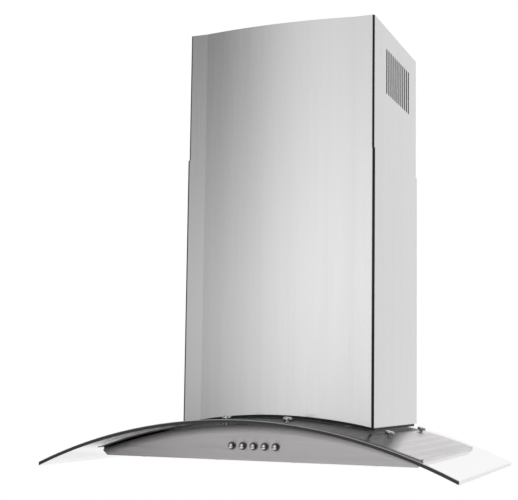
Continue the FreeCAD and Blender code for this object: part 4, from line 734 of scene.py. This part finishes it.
# Painted shade: the colour is painted dark at the folds, where the normal turns from front to side.
fold = calc(tree, "MINIMUM", from_side, calc(tree, "ABSOLUTE", turned.outputs["Y"]))
fold_shade = spread(tree, fold, 1.0, FOLD_SHADE, *FOLD_TURN)
brushed_tone = shader.inputs["Base Color"].links[0].from_socket
put(shader, "Base Color", tinted(tree, brushed_tone, fold_shade))
faces = add(tree, "MixShader", {0: hidden, 1: shader.outputs[0], 2: dull_shaded_inside.outputs[0]})
put(tree.nodes["Material Output"], "Surface", faces.outputs[0])
wear(cover_steel, "chimney_lower_cover", "chimney_upper_cover")
wear(rubber, "chimney_seal")

# Painted shade: a thin black pad stands behind each row of vents and keeps the slots dark.
SCREEN_OUTER, SCREEN_THICK = 0.1815, 0.001
SCREEN_FRONT, SCREEN_REAR, SCREEN_LOW, SCREEN_TOP = -0.245, -0.04, 0.664, 0.776
shade_pad_material, tree, shader = finish("vent_shade_pad")
pad_grain = noise(tree, 1600.0, 4.0, 0.7)
put(shader, "Base Color", tinted(tree, (0.012, 0.012, 0.013), varied(tree, pad_grain, 0.6, 1.5)))
put(shader, "Roughness", 0.95)
put(shader, "Normal", raised(tree, pad_grain, 0.0003))
screen_size = (SCREEN_THICK, SCREEN_REAR - SCREEN_FRONT, SCREEN_TOP - SCREEN_LOW)
for side, sign in (("left", -1), ("right", 1)):
    middle = Vector((
        sign * (SCREEN_OUTER - SCREEN_THICK / 2),
        (SCREEN_FRONT + SCREEN_REAR) / 2,
        (SCREEN_LOW + SCREEN_TOP) / 2,
    ))
    pad = block(screen_size, middle, "screen")
    assemble("vent_screen_" + side, [(pad, Matrix())], shade_pad_material, "upper_chimney")


# Grease filters ------------------------------------------------------------------------------
# Folded aluminium frames around layers of expanded aluminium mesh, with a bent finger pull.
# They hang on rolled tabs at the back and are held by steel leaf clips at the front.

MESH_LONG, MESH_SHORT = 0.007, 0.0042
STRAND_WIDE, STRAND_THICK = 0.0011, 0.0004
MESH_WAVE = 0.0003
FIRST_ROW = 0.75
# share of the mesh's thickness, and shift of its rows, for each layer
MESH_LAYERS = ((0.3, 0.0), (0.72, 0.5))
STRAND_CORNERS = ((-1, -1), (1, -1), (1, 1), (-1, 1))


def expanded_mesh(name, low, high):
    """Two layers of expanded metal: zigzag strands that meet at their peaks."""
    points, faces = [], []
    for share, offset in MESH_LAYERS:
        level = low.z + share * (high.z - low.z)
        rows = int((high.y - low.y - MESH_SHORT) / MESH_SHORT)
        steps = int((high.x - low.x) / (MESH_LONG / 2))
        for row in range(rows):
            back = low.y + MESH_SHORT * (row + FIRST_ROW + offset * 0.5)
            first = len(points)
            for step in range(steps + 1):
                across = low.x + (high.x - low.x) * step / steps
                peak = 1 if (step + row) % 2 else -1
                along = back + peak * (MESH_SHORT / 2 - STRAND_WIDE / 4)
                rise = level + MESH_WAVE * peak
                for wide, thick in STRAND_CORNERS:
                    points.append((
                        across, along + wide * STRAND_WIDE / 2, rise + thick * STRAND_THICK / 2,
                    ))
            for step in range(steps):
                here = first + 4 * step
                for corner in range(4):
                    other = (corner + 1) % 4
                    faces.append((here + corner, here + other, here + 4 + other, here + 4 + corner))
            last = first + 4 * steps
            faces.append((first + 3, first + 2, first + 1, first))
            faces.append((last, last + 1, last + 2, last + 3))
    mesh = bpy.data.meshes.new(name)
    mesh.from_pydata(points, [], faces)
    mesh.validate()
    return mesh


for side in ("left", "right"):
    low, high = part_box("filter_mesh_" + side)
    woven = expanded_mesh("grease_mesh_" + side, low, high)
    body = "filter_" + side
    piece = assemble("grease_mesh_" + side, [(woven, Matrix())], aluminium, body)
    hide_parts("filter_mesh_" + side)
    wear(aluminium, "filter_frame_" + side)
    wear(pan_steel, "filter_handle_" + side)
wear(plated, "filter_clips")


# Lamps ---------------------------------------------------------------------------------------
# Two recessed lamps: a pressed housing above the floor, a chrome ring below it, and a frosted
# glass lens held by the ring.

wear(zinc, "lamp_housings")
wear(chrome, "lamp_rings")
frosted, tree, shader = finish("frosted_lens")
ripple = noise(tree, 320.0, 2.0)
put(shader, "Base Color", tinted(tree, (0.9, 0.9, 0.88), varied(tree, ripple, 0.95, 1.03)))
put(shader, "Roughness", varied(tree, ripple, 0.3, 0.45))
put(shader, "Transmission Weight", 0.35)
put(shader, "Normal", raised(tree, ripple, 0.0003))
wear(frosted, "lamp_lenses")
